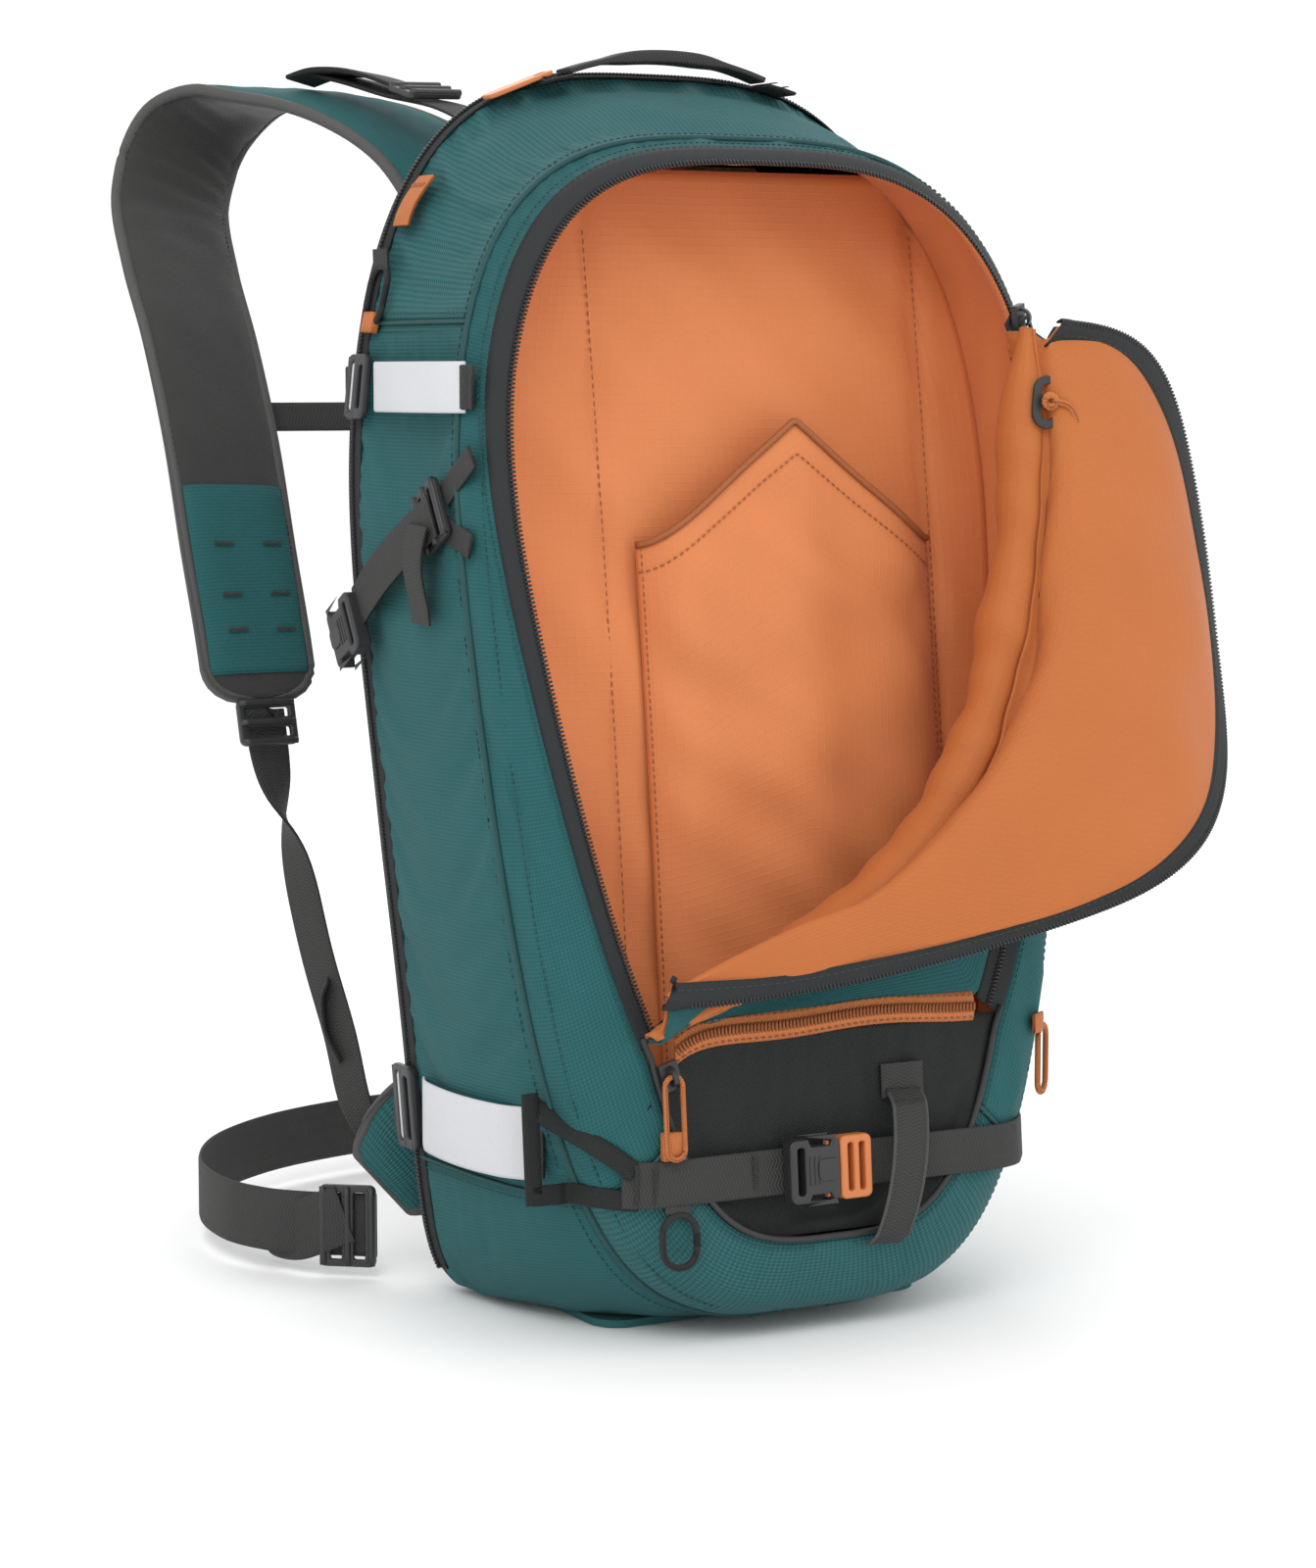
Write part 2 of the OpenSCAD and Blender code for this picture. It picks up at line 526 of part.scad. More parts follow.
handle_y = 38;
handle_lift = 3.2;
handle_x0 = -50;
handle_x1 = 52;
function roof_z(x, y) = let (k = clamp01((y - gusset_y(bag_h, 0)) / (gusset_y(bag_h, 1) - gusset_y(bag_h, 0))))
    mid_z + (top_z(k) - mid_z) * pow(1 - pow(abs(x) / half_w(bag_h), crown_p), 1 / crown_p);
module haul_handle() color("dimgray") ribbon([for (i = [0:12]) let (x = mix(handle_x0, handle_x1, i / 12))
    [x, handle_y, roof_z(x, handle_y) + handle_lift + 7 * sin(180 * i / 12)]], 19, 3, function(t) [0, 1, 0]);
top_pull_x = -74;
top_pull_at = [top_pull_x, handle_y, roof_z(top_pull_x, handle_y) + 2.2];
module top_zip_pull() color("sandybrown") place(top_pull_at, [0.9, 0, 0.35], [-0.35, 0, 0.9])
    translate([-16, -6, 0]) linear_extrude(2.2) difference() {
        square([34, 12]);
        translate([29, 6]) circle(3, $fn = 24);
    }

// ---- back panel ----

back_gap = 0.9;
zip_turn = 138;
module back_shell() color("cadetblue") for (s = [0, 1]) translate([seam_gap * (0.5 - s), 0, 0])
    skin(function(u, v) let (a = mix(-90, 90, u) + 180 * s, d = back_r * round_off(1 - v)) rear_pt(a, d) + [0, back_gap, 0],
        26, 5, wall);
function inner_half(z) = half_at(z, back_r + 1, 1);
foot_in = floor_z + back_r + 2;
crown_in = bag_h - back_r - 2;
module back_foam() color("dimgray") slab(foot_in, crown_in, 22, function(z) inner_half(z),
    function(z) rear_y(z) - 3, function(z) rear_y(z) - 3 + foam_t);
module frame_sheet() color("ivory") slab(foot_in + 10, crown_in - 14, 22, function(z) inner_half(z) - 10,
    function(z) rear_y(z) - 5 - sheet_t, function(z) rear_y(z) - 5);
module frame_stays() color("silver") for (x = [-62, 50])
    ribbon([for (i = [0:16]) let (z = mix(foot_in + 24, crown_in - 40, i / 16))
        [x + 6, rear_y(z) - 6 - sheet_t - 1.6, z]], 12, 2.4, function(t) [1, 0, 0]);
module lumbar_pad() color("dimgray") slab(62, 190, 8, function(z) 70 - 18 * abs((z - 126) / 64),
    function(z) rear_y(z) - 3 + foam_t + 0.4, function(z) rear_y(z) - 3 + foam_t + 9 * sqrt(1 - pow((z - 126) / 66, 2)) + 1);
module back_zip() color("dimgray") for (s = [0, 1]) translate([seam_gap * (0.5 - s), 0, 0])
    skin(function(u, v) let (a = 90 + (s == 0 ? -1 : 1) * mix(zip_turn, 0, s == 0 ? u : 1 - u), o = outline(a, 0, 1))
        [o.x, rear_y(o.y) - back_r + mix(0.1, 0.7, v), o.y], 26, 1, 2, -1, 1.2);

// ---- harness ----

strap_path = [[-60, 84, 462], [-62, 100, 492], [-68, 132, 522], [-80, 178, 543], [-96, 226, 554],
    [-116, 262, 554], [-134, 280, 536], [-148, 272, 506], [-156, 240, 472], [-160, 206, 436],
    [-163, 174, 389], [-165, 150, 339], [-165, 134, 300], [-165, 124, 270]];
module shoulder_strap_left() color("cadetblue") ribbon(curve(strap_path, 3), strap_w, strap_t,
    function(t) [1, 0, 0], strap_end_w);
module shoulder_strap_right() mirror([1, 0, 0]) shoulder_strap_left();

lifter_path = [[-66, 86, 536], [-72, 112, 545], [-78, 150, 552], [-84, 184, 560], [-92, 210, 566]];
module load_lifter_webbing() color("dimgray") both()
    ribbon(curve(lifter_path, 3), harness_web, web_t, function(t) [1, 0, 0]);
lifter_lock_at = [-75, 132, 551.5];
module load_lifter_locks() color("dimgray") both()
    place(lifter_lock_at, [-0.12, 0.95, 0.24], [0, -0.24, 0.97]) ladder_lock(harness_web);

lower_path = [[-165, 121, 262], [-160, 123, 236], [-150, 122, 196], [-142, 116, 150], [-135, 106, 112],
    [-130, 100, 80], [-122, 96, 62]];
module strap_webbing() color("dimgray") both()
    ribbon(curve(lower_path, 3), harness_web, web_t, function(t) [1, 0, 0]);
adjuster_at = [-165, 119.4, 259];
module strap_adjusters() color("dimgray") both()
    place(adjuster_at, [0, 0.28, 0.96], [0, -0.96, 0.28]) ladder_lock(harness_web);

// The chest strap lies on the outer faces of the shoulder straps, which lean at its height
chest_hi = strap_path[9];
chest_lo = strap_path[10];
chest_up = unit([0, chest_hi.y - chest_lo.y, chest_hi.z - chest_lo.z]);
chest_out = [0, chest_up.z, -chest_up.y];
chest_mid = mix(chest_lo, chest_hi, (chest_z - chest_lo.z) / (chest_hi.z - chest_lo.z));
chest_on = [0, chest_mid.y, chest_mid.z] + chest_out * (strap_t / 2 + 1.6);
chest_buckle_x = -8;
chest_web_end = -chest_mid.x - 12;
function chest_pt(x, lift) = [x, chest_on.y, chest_on.z] + chest_out * lift;
module chest_half(x0, x1) ribbon([for (i = [0:8]) chest_pt(mix(x0, x1, i / 8), 1.6)], chest_web, web_t,
    function(t) chest_up);
module sternum_webbing() color("dimgray") {
    for (s = [-1, 1]) place(chest_pt(-s * chest_mid.x, 0), [1, 0, 0], chest_out) ladder_lock(chest_web, 3);
    chest_half(-chest_web_end, chest_buckle_x - 4);
    chest_half(chest_buckle_x + 22, chest_web_end);
}
module sternum_female() color("black")
    place(chest_pt(chest_buckle_x, 3), [1, 0, 0], chest_out) buckle_female(chest_web);
module sternum_male() color("black")
    place(chest_pt(chest_buckle_x + chest_web * 0.625 + 0.4, 3), [1, 0, 0], chest_out) buckle_male(chest_web);

fin_path = [[-84, 69, 70], [-104, 73, 62], [-117, 78, 51], [-123.5, 82, 44]];
module hip_fins() color("cadetblue") both() ribbon(curve(fin_path, 4), 78, 9, function(t) [0, 0, 1], 36);
belt_half = [[-140, 91, belt_z], [-154, 102, belt_z], [-168, 120, belt_z], [-176, 152, belt_z],
    [-168, 200, belt_z], [-140, 248, belt_z], [-96, 284, belt_z], [-46, 303, belt_z]];
belt_y = 308;
belt_buckle_x = 44;
module hip_webbing_left() color("dimgray")
    ribbon(curve(concat(belt_half, [[0, belt_y, belt_z], [belt_buckle_x - 12, belt_y, belt_z]]), 3), hip_web, web_t,
        function(t) [0, 0, 1]);
belt_tail = [[130, belt_y - 30, belt_z], [belt_buckle_x + 72, belt_y + 6, belt_z],
    [belt_buckle_x + 58, belt_y + 12, belt_z], [belt_buckle_x + 44, belt_y + 12, belt_z],
    [belt_buckle_x + 26, belt_y + 12, belt_z]];
module hip_webbing_right() color("dimgray")
    ribbon(curve(concat([for (p = belt_half) if (p.y < 250) flip(p)], belt_tail), 3),
        hip_web, web_t, function(t) [0, 0, 1]);
hip_lock_at = [-139, 88.4, belt_z];
module hip_locks() color("dimgray") both()
    place(hip_lock_at, [-0.78, 0.62, 0], [-0.62, -0.78, 0]) ladder_lock(hip_web);
module hip_buckle_female() color("black")
    place([belt_buckle_x, belt_y + 1.4, belt_z], [1, 0, 0], [0, 1, 0]) buckle_female(hip_web);
module hip_buckle_male() color("black")
    place([belt_buckle_x + hip_web * 0.625 + 0.4, belt_y + 1.4, belt_z], [1, 0, 0], [0, 1, 0])
        buckle_male(hip_web);

base_panel();
side_panel_left();
side_panel_right();
top_yoke();
bottom_boot();
front_border();
front_boot();
lower_front_panel();
front_corner_panel();
pocket_divider();
tool_sleeve();
front_zip();
lower_zip();
flap();
flap_eyelet();
zip_slider_right();
zip_pull_right();
zip_slider_left();
zip_pull_left();
lower_zip_pull();
ski_webbing_upper();
ski_webbing_lower();
ski_hook_upper_left();
ski_hook_upper_right();
ski_hook_lower_left();
ski_hook_lower_right();
compression_anchors();
compression_strap_left();
compression_strap_right();
front_strap_anchors();
front_buckle_female();
front_buckle_male();
front_tab();
axe_loop();
gear_loop_left();
gear_loop_right();
side_tabs();
haul_handle();
top_zip_pull();
back_shell();
back_foam();
frame_sheet();
frame_stays();
lumbar_pad();
back_zip();
shoulder_strap_left();
shoulder_strap_right();
load_lifter_webbing();
load_lifter_locks();
strap_webbing();
strap_adjusters();
sternum_webbing();
sternum_female();
sternum_male();
hip_fins();
hip_webbing_left();
hip_webbing_right();
hip_locks();
hip_buckle_female();
hip_buckle_male();
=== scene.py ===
"""Ski backpack: cloth, webbing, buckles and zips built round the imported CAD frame."""

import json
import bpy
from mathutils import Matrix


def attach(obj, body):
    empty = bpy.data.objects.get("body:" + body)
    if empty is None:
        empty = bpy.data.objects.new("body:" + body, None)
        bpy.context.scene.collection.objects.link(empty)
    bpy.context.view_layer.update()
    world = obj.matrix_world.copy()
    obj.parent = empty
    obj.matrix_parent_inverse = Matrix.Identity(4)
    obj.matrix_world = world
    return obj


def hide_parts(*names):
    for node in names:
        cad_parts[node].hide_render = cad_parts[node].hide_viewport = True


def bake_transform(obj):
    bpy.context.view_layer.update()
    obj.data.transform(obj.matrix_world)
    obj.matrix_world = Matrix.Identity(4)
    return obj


bl_info = {
    "name": "Ski backpack",
    "version": (1, 0, 0),
    "blender": (4, 5, 0),
    "location": "View3D > Sidebar > Backpack",
    "description": "Sews the cloth, webbing and fittings of a ski backpack round its frame",
    "category": "Add Mesh",
}

from math import pi, radians

import bpy
import numpy as np
from mathutils import Matrix, Vector

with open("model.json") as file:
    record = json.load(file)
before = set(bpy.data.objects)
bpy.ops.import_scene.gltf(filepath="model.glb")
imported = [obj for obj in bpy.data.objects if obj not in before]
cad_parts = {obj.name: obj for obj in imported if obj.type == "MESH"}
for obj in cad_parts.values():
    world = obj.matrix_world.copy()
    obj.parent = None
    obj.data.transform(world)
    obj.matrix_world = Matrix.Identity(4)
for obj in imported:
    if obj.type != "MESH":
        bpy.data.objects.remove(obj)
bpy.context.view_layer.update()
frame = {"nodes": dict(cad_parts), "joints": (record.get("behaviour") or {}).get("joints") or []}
NODES = frame["nodes"]
JOINTS = {joint["name"]: joint for joint in frame["joints"]}
MM = 0.001
BACK_H = 0.556
FRONT_H = 0.524


# ---------------------------------------------------------------- sizes and colours

def linear(hex_colour):
    """An sRGB hex colour as linear RGB: c/12.92 below 0.04045, else ((c+0.055)/1.055)^2.4."""
    c = np.array([int(hex_colour[i:i + 2], 16) / 255 for i in (0, 2, 4)])
    c = np.where(c <= 0.04045, c / 12.92, ((c + 0.055) / 1.055) ** 2.4)
    return tuple(float(v) for v in c)


def length(name, text, default):
    """A length property in metres."""
    return bpy.props.FloatProperty(name=name, description=text, default=default, subtype="DISTANCE", unit="LENGTH")


def colour(name, text, default):
    """A colour property whose default is an sRGB hex value."""
    return bpy.props.FloatVectorProperty(name=name, description=text, default=linear(default), size=3,
                                         min=0.0, max=1.0, subtype="COLOR")


class BagShape(bpy.types.PropertyGroup):
    """Sizes of the bag, which the CAD frame sets."""
    back_height: length("Back height", "Height of the bag along its back", BACK_H)
    front_height: length("Front height", "Height of the bag along its front", FRONT_H)
    top_half: length("Top half width", "Half the bag's width at the shoulders", 0.151)
    base_half: length("Base half width", "Half the bag's width at its base", 0.127)
    fold_radius: length("Fold radius", "Radius of the rolled fold of the front flap", 0.012)
    fold_bow: length("Fold bow", "How far the flap's fold bows away from its hinge line", 0.078)
    drape_from: length("Drape from", "Distance right of the middle where the open flap starts to hang back", 0.118)
    drape_radius: length("Drape radius", "Radius of the open flap's bend round the bag's side", 0.115)
    cloth: length("Cloth thickness", "Thickness of one layer of coated cloth", 0.0011)
    webbing: length("Webbing thickness", "Thickness of the webbing", 0.0017)


class BagColours(bpy.types.PropertyGroup):
    """Colours of the cloth and the fittings."""
    teal: colour("Shell cloth", "Colour of the plain shell cloth", "255A5C")
    teal_coarse: colour("Coarse cloth", "Colour of the coarse shell cloth", "2B5F61")
    # Painted light: the lining's tint is a little lighter than the cloth, to offset the shade inside the pocket.
    lining: colour("Lining", "Colour of the orange lining", "D27F4C")
    # Painted shade: the flap's inner face is the lining's own orange cloth, given this darker tint for the light that
    # falls on the open flap.
    flap: colour("Flap lining", "Colour of the flap's inner face", "B4652F")
    charcoal: colour("Pocket cloth", "Colour of the dark pocket cloth", "1F2322")
    webbing: colour("Webbing", "Colour of the dark webbing", "393938")
    pale: colour("Ski strap", "Colour of the pale ski straps", "C9CACD")
    plastic: colour("Buckles", "Colour of the moulded buckles", "2A2A2C")
    accent: colour("Accent", "Colour of the orange cord and buckle", "C57440")
    tape: colour("Zip tape", "Colour of the zip tape", "222526")


def shape():
    """The scene's sizes."""
    return bpy.context.scene.bag_shape


def colours():
    """The scene's colours."""
    return bpy.context.scene.bag_colours


# ---------------------------------------------------------------- the bag's surface

MID_Z = 0.300
FLOOR_Z = 0.0037
CROWN_P = 3.2
FRONT_R = 0.030
BACK_R = 0.022
YOKE_Z = 0.443
BOOT_Z = 0.066
LOW_ZIP_Z = 0.138
TAPE_W = 0.013
FOOT_Z = 0.047
POCKET_D = 0.062
ZIP_TOP_Z = 0.446
FLAP_TOP_Z = 0.440
FLAP_FOOT_Z = 0.140
FLAP_OPEN = radians(170)
DIVIDER_SEAMS = (-0.064, 0.108)
HANDLE_Y = 38
BUCKLE_THICK = 7.4


def mix(a, b, t):
    """a + (b - a) t."""
    return a + (b - a) * t


def ease(t):
    """3t^2 - 2t^3 on the clipped parameter."""
    t = np.clip(t, 0, 1)
    return t * t * (3 - 2 * t)


def half_w(z):
    """Half width: from the base to the shoulders, eased over the lowest 400 mm."""
    return mix(shape().base_half, shape().top_half, ease(z / 0.400))


def front_y(z):
    """Front face: a straight lean plus half a sine wave of swell."""
    t = np.clip(z / shape().front_height, 0, 1)
    return -0.122 + 0.060 * t - 0.006 * np.sin(pi * t)


def rear_y(z):
    """Back face: upright, drawn in below by an eased 18 mm."""
    return 0.072 - 0.018 * (1 - ease((z - 0.02) / 0.400))


def foot_p(k):
    """Power of the superellipse below the middle: 3.4 at the front, 10 at the back."""
    return mix(3.4, 10.0, np.clip(k, 0, 1))


def top_z(k):
    """Height of the top: from front to back by a quarter sine."""
    return mix(shape().front_height, shape().back_height, np.sin(pi / 2 * np.clip(k, 0, 1)))


def foot_h(k):
    """Depth below the middle: 12 mm less at the front, by a square law."""
    return MID_Z + 0.004 - 0.012 * (1 - np.clip(k, 0, 1)) ** 2


def outline(a, d, k):
    """Superellipse x = w |cos|^(2/p), z = h |sin|^(2/p), whose width w follows the height; d draws it in."""
    s, c = np.sin(a), np.cos(a)
    up = s > 0
    e = 2 / np.where(up, CROWN_P, foot_p(k))
    h = np.where(up, top_z(k) - MID_Z, foot_h(k)) - d
    z = np.maximum(FLOOR_Z, MID_Z + h * np.sign(s) * np.abs(s) ** e)
    return (half_w(z) - d) * np.sign(c) * np.abs(c) ** e, z


def angle_at(z, d, k):
    """Angle of that outline at a height: the inverse of its z formula."""
    up = np.clip((z - MID_Z) / (top_z(k) - MID_Z - d), 0, 1) ** (CROWN_P / 2)
    low = np.clip((MID_Z - z) / (foot_h(k) - d), 0, 1) ** (foot_p(k) / 2)
    return np.where(z > MID_Z, np.arcsin(up), -np.arcsin(low))


def half_at(z, d, k):
    """The outline's half width at a height."""
    return outline(angle_at(z, d, k), d, k)[0]


def drop(d, r):
    """A rounded edge: r - sqrt(r^2 - (r - d)^2) at the distance d in from the edge."""
    q = np.clip(r - d, 0, r)
    return r - np.sqrt(r * r - q * q)


def stack(*parts):
    """Coordinates broadcast against each other and put together as points."""
    return np.stack(np.broadcast_arrays(*parts), -1)


def front_pt(a, d):
    """A point of the front face at the outline's angle a, inset d, with its edge rounded."""
    x, z = outline(a, d, 0)
    return stack(x, front_y(z) + drop(d, FRONT_R), z)


def gusset_y(z, k):
    """Depth of the gusset: k = 0 at the front face's round, 1 at the back face's."""
    return mix(front_y(z) + FRONT_R, rear_y(z) - BACK_R, k)


def gusset_pt(a, k):
    """A point of the gusset at the angle a and the depth k."""
    x, z = outline(a, 0, k)
    return stack(x, gusset_y(z, k), z)


def rear_pt(a, d):
    """A point of the back face at the angle a, inset d, with its edge rounded."""
    x, z = outline(a, d, 1)
    return stack(x, rear_y(z) - drop(d, BACK_R), z)


def zip_inset(z):
    """Inset of the zip's outer edge: 5 mm, growing by 31 mm to the power 1.5 towards the foot."""
    return 0.005 + 0.031 * np.clip((0.430 - z) / 0.325, 0, 1) ** 1.5


def zip_d(a):
    """The zip's inset at an angle."""
    return zip_inset(outline(a, 0, 0)[1])


def inset_at(z, extra):
    """Inset at a height of the curve drawn in by extra from the zip's outer edge, found by repeated substitution."""
    d = zip_inset(z) + extra
    for _ in range(5):
        d = zip_d(angle_at(z, d, 0)) + extra
    return d


def face_at(x, z):
    """The front face at a width and height; its depth follows the distance in from the outline."""
    d = np.maximum(half_at(z, 0, 0) - np.abs(x), 0)
    return stack(x, front_y(z) + drop(d, FRONT_R), z)


def side_at(s, y, z):
    """A point on the side s at the depth y and height z."""
    y0 = gusset_y(z, 0)
    k = np.clip((y - y0) / (gusset_y(z, 1) - y0), 0, 1)
    return stack(s * half_at(z, 0, k), y, z)


def low_zip_z(x):
    """Height of the lower zip at x: level, and curving down to the main zip's foot at its left end."""
    return LOW_ZIP_Z + 0.003 - 0.015 * np.exp(-(x + 0.082) / 0.013)


def pocket_y(z):
    """Depth of the pocket's divider behind the front face."""
    return front_y(z) + POCKET_D


# ---------------------------------------------------------------- mesh makers

def unit(v):
    """v / |v|."""
    return v / np.maximum(np.linalg.norm(v, axis=-1, keepdims=True), 1e-12)


def make_object(name, mesh):
    """A new object in the scene."""
    obj = bpy.data.objects.new(name, mesh)
    bpy.context.scene.collection.objects.link(obj)
    return obj


def new_mesh(name, verts, faces, uv=None):
    """A smooth mesh of vertices and faces, with one UV for each vertex."""
    mesh = bpy.data.meshes.new(name)
    mesh.from_pydata(np.asarray(verts).reshape(-1, 3).tolist(), [], faces)
    if uv is not None:
        layer = mesh.uv_layers.new(name="UVMap")
        loops = np.zeros(len(mesh.loops), np.int32)
        mesh.loops.foreach_get("vertex_index", loops)
        layer.data.foreach_set("uv", np.asarray(uv)[loops].astype(np.float32).ravel())
    mesh.validate()
    mesh.polygons.foreach_set("use_smooth", [True] * len(mesh.polygons))
    return mesh


def grid_faces(n, m, closed=False):
    """Quads of an n by m grid whose points are counted row by row; closed joins the last column to the first."""
    i, j = np.meshgrid(np.arange(n - 1), np.arange(m if closed else m - 1), indexing="ij")
    a = i * m + j
    b = i * m + (j + 1) % m
    return np.stack([a, a + m, b + m, b], -1).reshape(-1, 4)


def arc_uv(p):
    """UVs in metres: the mean arc length along the rows and along the columns."""
    u = np.concatenate([[0], np.cumsum(np.linalg.norm(np.diff(p, axis=0), axis=2).mean(1))])
    v = np.concatenate([[0], np.cumsum(np.linalg.norm(np.diff(p, axis=1), axis=2).mean(0))])
    return np.stack(np.meshgrid(u, v, indexing="ij"), -1).reshape(-1, 2)


def normals(p):
    """Unit cross product of the grid's two central differences."""
    return unit(np.cross(np.gradient(p, axis=0), np.gradient(p, axis=1)))


def facing(p, way):
    """1 where the grid's cross product runs with the directions way on the whole, else -1."""
    return 1 if (np.cross(np.gradient(p, axis=0), np.gradient(p, axis=1)) * way).sum() > 0 else -1


def params(n, m):
    """Grids of two parameters that run from 0 to 1, n rows by m columns."""
    return np.meshgrid(np.linspace(0, 1, n), np.linspace(0, 1, m), indexing="ij")


def sheet_mesh(name, p, thick, s=1.0):
    """A cloth of two skins: the grid p, and the grid moved by thick against its normal s N, sewn at the rim."""
    n, m = p.shape[:2]
    inner = p - normals(p) * s * thick
    out = grid_faces(n, m)
    if s < 0:
        out = out[:, ::-1]
    rim = np.concatenate([np.arange(n) * m, (n - 1) * m + np.arange(1, m),
                          np.arange(n - 2, -1, -1) * m + m - 1, np.arange(m - 2, 0, -1)])
    nxt = np.roll(rim, -1)
    k = n * m
    edge = np.stack([rim, nxt, nxt + k, rim + k], -1)
    if s < 0:
        edge = edge[:, ::-1]
    faces = np.concatenate([out, out[:, ::-1] + k, edge[:, ::-1]])
    uv = arc_uv(p)
    return new_mesh(name, np.concatenate([p.reshape(-1, 3), inner.reshape(-1, 3)]), faces.tolist(),
                    np.concatenate([uv, uv]))


def path_frames(path, across):
    """Tangents, width directions and outward directions along a path."""
    path = np.asarray(path, float)
    tan = unit(np.gradient(path, axis=0))
    side = np.broadcast_to(np.asarray(across, float), path.shape)
    side = unit(side - tan * (side * tan).sum(1, keepdims=True))
    return path, tan, side, np.cross(tan, side)


def section_mesh(name, rings, closed=False):
    """Joins rings of points into a tube and closes its ends with fans of faces."""
    n, m = rings.shape[:2]
    verts = rings.reshape(-1, 3)
    faces = grid_faces(n, m, True)
    if closed:
        last = np.arange(m) + (n - 1) * m
        nxt = (np.arange(m) + 1) % m
        faces = np.concatenate([faces, np.stack([last, np.arange(m), nxt, nxt + (n - 1) * m], -1)])
        ends = []
    else:
        ends = [list(range(m)), list(range(n * m - 1, (n - 1) * m - 1, -1))]
    along = np.concatenate([[0], np.cumsum(np.linalg.norm(np.diff(rings.mean(1), axis=0), axis=1))])
    around = np.concatenate([[0], np.cumsum(np.linalg.norm(np.diff(rings, axis=1), axis=2).mean(0))])
    uv = np.stack(np.meshgrid(along, around, indexing="ij"), -1).reshape(-1, 2)
    return new_mesh(name, verts, faces[:, ::-1].tolist() + [e[::-1] for e in ends], uv)


def strip_mesh(name, path, across, width, thick, crown=0.0, corner=0.35):
    """A strap: a rounded rectangle carried along the path, width and thick given along it.
    The section is a superellipse |y/w|^n + |z/t|^n = 1, with an extra swell crown in its middle."""
    path, _, side, out = path_frames(path, across)
    n = len(path)
    w = np.broadcast_to(np.asarray(width, float), n)[:, None] / 2
    t = np.broadcast_to(np.asarray(thick, float), n)[:, None] / 2
    a = np.linspace(0, 2 * pi, 28, endpoint=False)[None] + 0.11
    c, s = np.cos(a), np.sin(a)
    y = np.sign(c) * np.abs(c) ** corner * w
    z = np.sign(s) * np.abs(s) ** corner * (t + crown * (1 - (y / w) ** 2))
    rings = path[:, None] + side[:, None] * y[..., None] + out[:, None] * z[..., None]
    return section_mesh(name, rings)


def webbing_mesh(name, path, across, width, thick):
    """Webbing: a flat band with rounded selvedges, its UVs running along and across the face."""
    path, _, side, out = path_frames(path, across)
    prof = np.array([(-1, -.55), (-.9, -1), (-.3, -1), (.3, -1), (.9, -1), (1, -.55), (1, .55), (.9, 1), (.3, 1),
                     (-.3, 1), (-.9, 1), (-1, .55)])
    rings = (path[:, None] + side[:, None] * (prof[:, 0] * width / 2)[None, :, None]
             + out[:, None] * (prof[:, 1] * thick / 2)[None, :, None])
    return section_mesh(name, rings)


def tube_mesh(name, path, r, sides=8, closed=False):
    """A round cord: a circle of radius r carried along the path on frames that don't twist."""
    path = np.asarray(path, float)
    if closed:
        tan = unit(np.roll(path, -1, 0) - np.roll(path, 1, 0))
    else:
        tan = unit(np.gradient(path, axis=0))
    ref = np.array([0.31, 0.17, 0.93]) if abs(tan[:, 2]).mean() < 0.8 else np.array([0.93, 0.31, 0.17])
    side = unit(np.cross(tan, ref))
    up = np.cross(side, tan)
    a = np.linspace(0, 2 * pi, sides, endpoint=False)
    r = np.broadcast_to(np.asarray(r, float), len(path))[:, None, None]
    rings = path[:, None] + r * (np.cos(a)[None, :, None] * side[:, None] + np.sin(a)[None, :, None] * up[:, None])
    return section_mesh(name, rings, closed)


def curve(points, n=8):
    """A Catmull-Rom curve through the points, n steps to each stretch."""
    p = np.asarray(points, float)
    q = np.concatenate([p[:1], p, p[-1:]])
    t = np.linspace(0, 1, n, endpoint=False)[:, None]
    out = [0.5 * (2 * b + t * (c - a) + t * t * (2 * a - 5 * b + 4 * c - d) + t ** 3 * (3 * b - 3 * c + d - a))
           for a, b, c, d in zip(q, q[1:], q[2:], q[3:])]
    return np.concatenate(out + [p[-1:]])


def resample(path, spacing):
    """Points spaced evenly along a path, with their tangents."""
    path = np.asarray(path, float)
    s = np.concatenate([[0], np.cumsum(np.linalg.norm(np.diff(path, axis=0), axis=1))])
    n = max(2, int(round(s[-1] / spacing)))
    at = (np.arange(n) + 0.5) * s[-1] / n
    pts = np.stack([np.interp(at, s, path[:, i]) for i in range(3)], -1)
    return pts, unit(np.gradient(pts, axis=0))


def beads_mesh(name, centres, along, out, size, power=2.0):
    """Many small rounded blocks: each is a superellipsoid of 5 rings of 6 points at a centre,
    turned to its along and out directions, size giving half lengths along, across and out."""
    lat = np.linspace(-pi / 2, pi / 2, 5)
    lon = np.linspace(0, 2 * pi, 6, endpoint=False)
    la, lo = np.meshgrid(lat, lon, indexing="ij")
    shape_pts = np.stack([np.sin(la), np.cos(la) * np.cos(lo), np.cos(la) * np.sin(lo)], -1)
    shape_pts = np.sign(shape_pts) * np.abs(shape_pts) ** (2 / power)
    shape_pts = (shape_pts * np.asarray(size)).reshape(-1, 3)
    along = unit(np.broadcast_to(along, centres.shape))
    out = np.broadcast_to(out, centres.shape)
    out = unit(out - along * (out * along).sum(1, keepdims=True))
    cross = np.cross(out, along)
    basis = np.stack([along, cross, out], 1)
    verts = centres[:, None] + shape_pts[None] @ basis
    k = len(shape_pts)
    faces = grid_faces(5, 6, True)[None] + (np.arange(len(centres)) * k)[:, None, None]
    return new_mesh(name, verts.reshape(-1, 3), faces.reshape(-1, 4)[:, ::-1].tolist())


